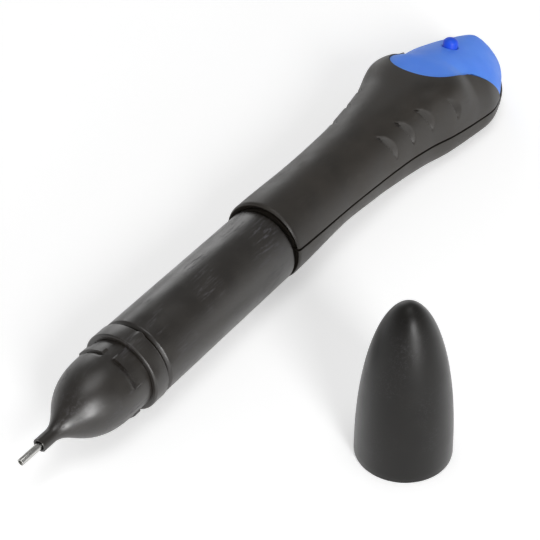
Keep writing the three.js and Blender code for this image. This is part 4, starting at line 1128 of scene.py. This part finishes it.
# %% Floor
# The floor is in metres across, a hair below the table's level, so that nothing touches it.
FLOOR_RADIUS = 2.5
FLOOR_GAP = 0.02
FLOOR_LIFT = 0.4
mesh = bmesh.new()
bmesh.ops.create_circle(mesh, cap_ends=True, segments=96, radius=FLOOR_RADIUS)
bmesh.ops.translate(mesh, verts=mesh.verts, vec=(0, 0, -FLOOR_GAP * MM))
floor = as_object(mesh, "floor")


def greater(tree, first, second):
    """The greater one of two values."""
    return add(tree, "ShaderNodeMath", {0: first, 1: second}, operation="MAXIMUM").outputs[0]


def seen_by(tree, *rays):
    """1 where one of the named kinds of ray looks, otherwise 0."""
    path = add(tree, "ShaderNodeLightPath")
    seen = path.outputs[rays[0]]
    for ray in rays[1:]:
        seen = greater(tree, seen, path.outputs[ray])
    return seen


paper, tree = material("pale_floor_sheet")
tooth = relief(tree, pattern(tree, 0.8, 2.0), 0.004)
matte = add(tree, "ShaderNodeBsdfDiffuse", {"Normal": tooth}, {"Color": linear("f2f2f2")})
seen = seen_by(tree, "Is Camera Ray", "Is Glossy Ray", "Is Transmission Ray")
lift = between(tree, seen, 0.0, FLOOR_LIFT)
glow = add(tree, "ShaderNodeEmission", {"Strength": lift}, {"Color": linear("ffffff")})
both = add(tree, "ShaderNodeAddShader", {0: matte.outputs["BSDF"],
                                         1: glow.outputs["Emission"]})
add(tree, "ShaderNodeOutputMaterial", {"Surface": both.outputs["Shader"]})
floor.data.materials.append(paper)
print("the floor lies", FLOOR_GAP, "mm below the table's level")

# %% Surroundings
HORIZON_LEVEL = 0.85
ZENITH_LEVEL = 0.26
DIMMING = (0.05, 0.5)
world = bpy.data.worlds.new("white_surroundings")
bpy.context.scene.world = world
world.use_nodes = True
tree = world.node_tree
tree.nodes.clear()
direction = add(tree, "ShaderNodeTexCoord")
parts = add(tree, "ShaderNodeSeparateXYZ", {"Vector": direction.outputs["Generated"]})
soft = between(tree, parts.outputs["Z"], HORIZON_LEVEL, ZENITH_LEVEL, *DIMMING)
level = greater(tree, soft, seen_by(tree, "Is Camera Ray", "Is Transmission Ray"))
sky = add(tree, "ShaderNodeBackground", {"Strength": level}, {"Color": linear("ffffff")})
add(tree, "ShaderNodeOutputWorld", {"Surface": sky.outputs["Background"]})
print("surroundings dim from", HORIZON_LEVEL, "to", ZENITH_LEVEL)

# %% Lamps
# name: (place, point it looks at, width in metres, power in watts)
LAMPS = {
    "key": ((0.80, -0.62, 0.50), (0, -0.05, 0), 0.32, 4.4),
    "low": ((0.76, -0.52, 0.15), (0, -0.02, 0), 0.25, 2.6),
    "fill": ((-0.78, 0.62, 0.36), (0, -0.04, 0), 0.5, 1.2),
    "overhead": ((0.1, -0.1, 1.1), (0, -0.04, 0), 0.7, 2.4),
}


def soft_lamp(name, place, target, size, power):
    """A round area lamp that looks at a point."""
    light = bpy.data.lights.new(name, "AREA")
    light.shape = "DISK"
    light.size = size
    light.energy = power
    lamp = bpy.data.objects.new(name, light)
    lamp.location = place
    lamp.rotation_euler = (Vector(target) - Vector(place)).to_track_quat("-Z", "Y").to_euler()
    bpy.context.scene.collection.objects.link(lamp)


for name, settings in LAMPS.items():
    soft_lamp(name, *settings)
print("lamps:", [light.name for light in bpy.data.lights])

# %% [markdown]
# ## The camera
# Its place, direction and lens were found by laying the pen's known points, such as the
# needle's tip, the ends of the barrel and the cap's rim, over the same points of the
# photograph. The picture leans by less than one degree, so the camera's own sideways
# direction is given too.

# %% Camera
CAMERA_PLACE = Vector((0.14374, -0.26396, 0.19818))
FORWARD = Vector((-0.4503, 0.6428, -0.6197)).normalized()
SIDEWAYS = Vector((0.8256, 0.5641, -0.0148))
LENS_MM, SENSOR_MM, NEAR_END = 113.3, 36, 0.01
across = (SIDEWAYS - SIDEWAYS.dot(FORWARD) * FORWARD).normalized()
lens = bpy.data.cameras.new("camera")
lens.sensor_width = SENSOR_MM
lens.lens = LENS_MM
lens.clip_start = NEAR_END
camera = bpy.data.objects.new("camera", lens)
turn = Matrix((across, across.cross(FORWARD), -FORWARD)).transposed()
camera.matrix_world = Matrix.Translation(CAMERA_PLACE) @ turn.to_4x4()
bpy.context.scene.collection.objects.link(camera)
bpy.context.scene.camera = camera
bpy.context.scene.view_settings.view_transform = "Standard"
print("camera at", tuple(round(value, 3) for value in CAMERA_PLACE))
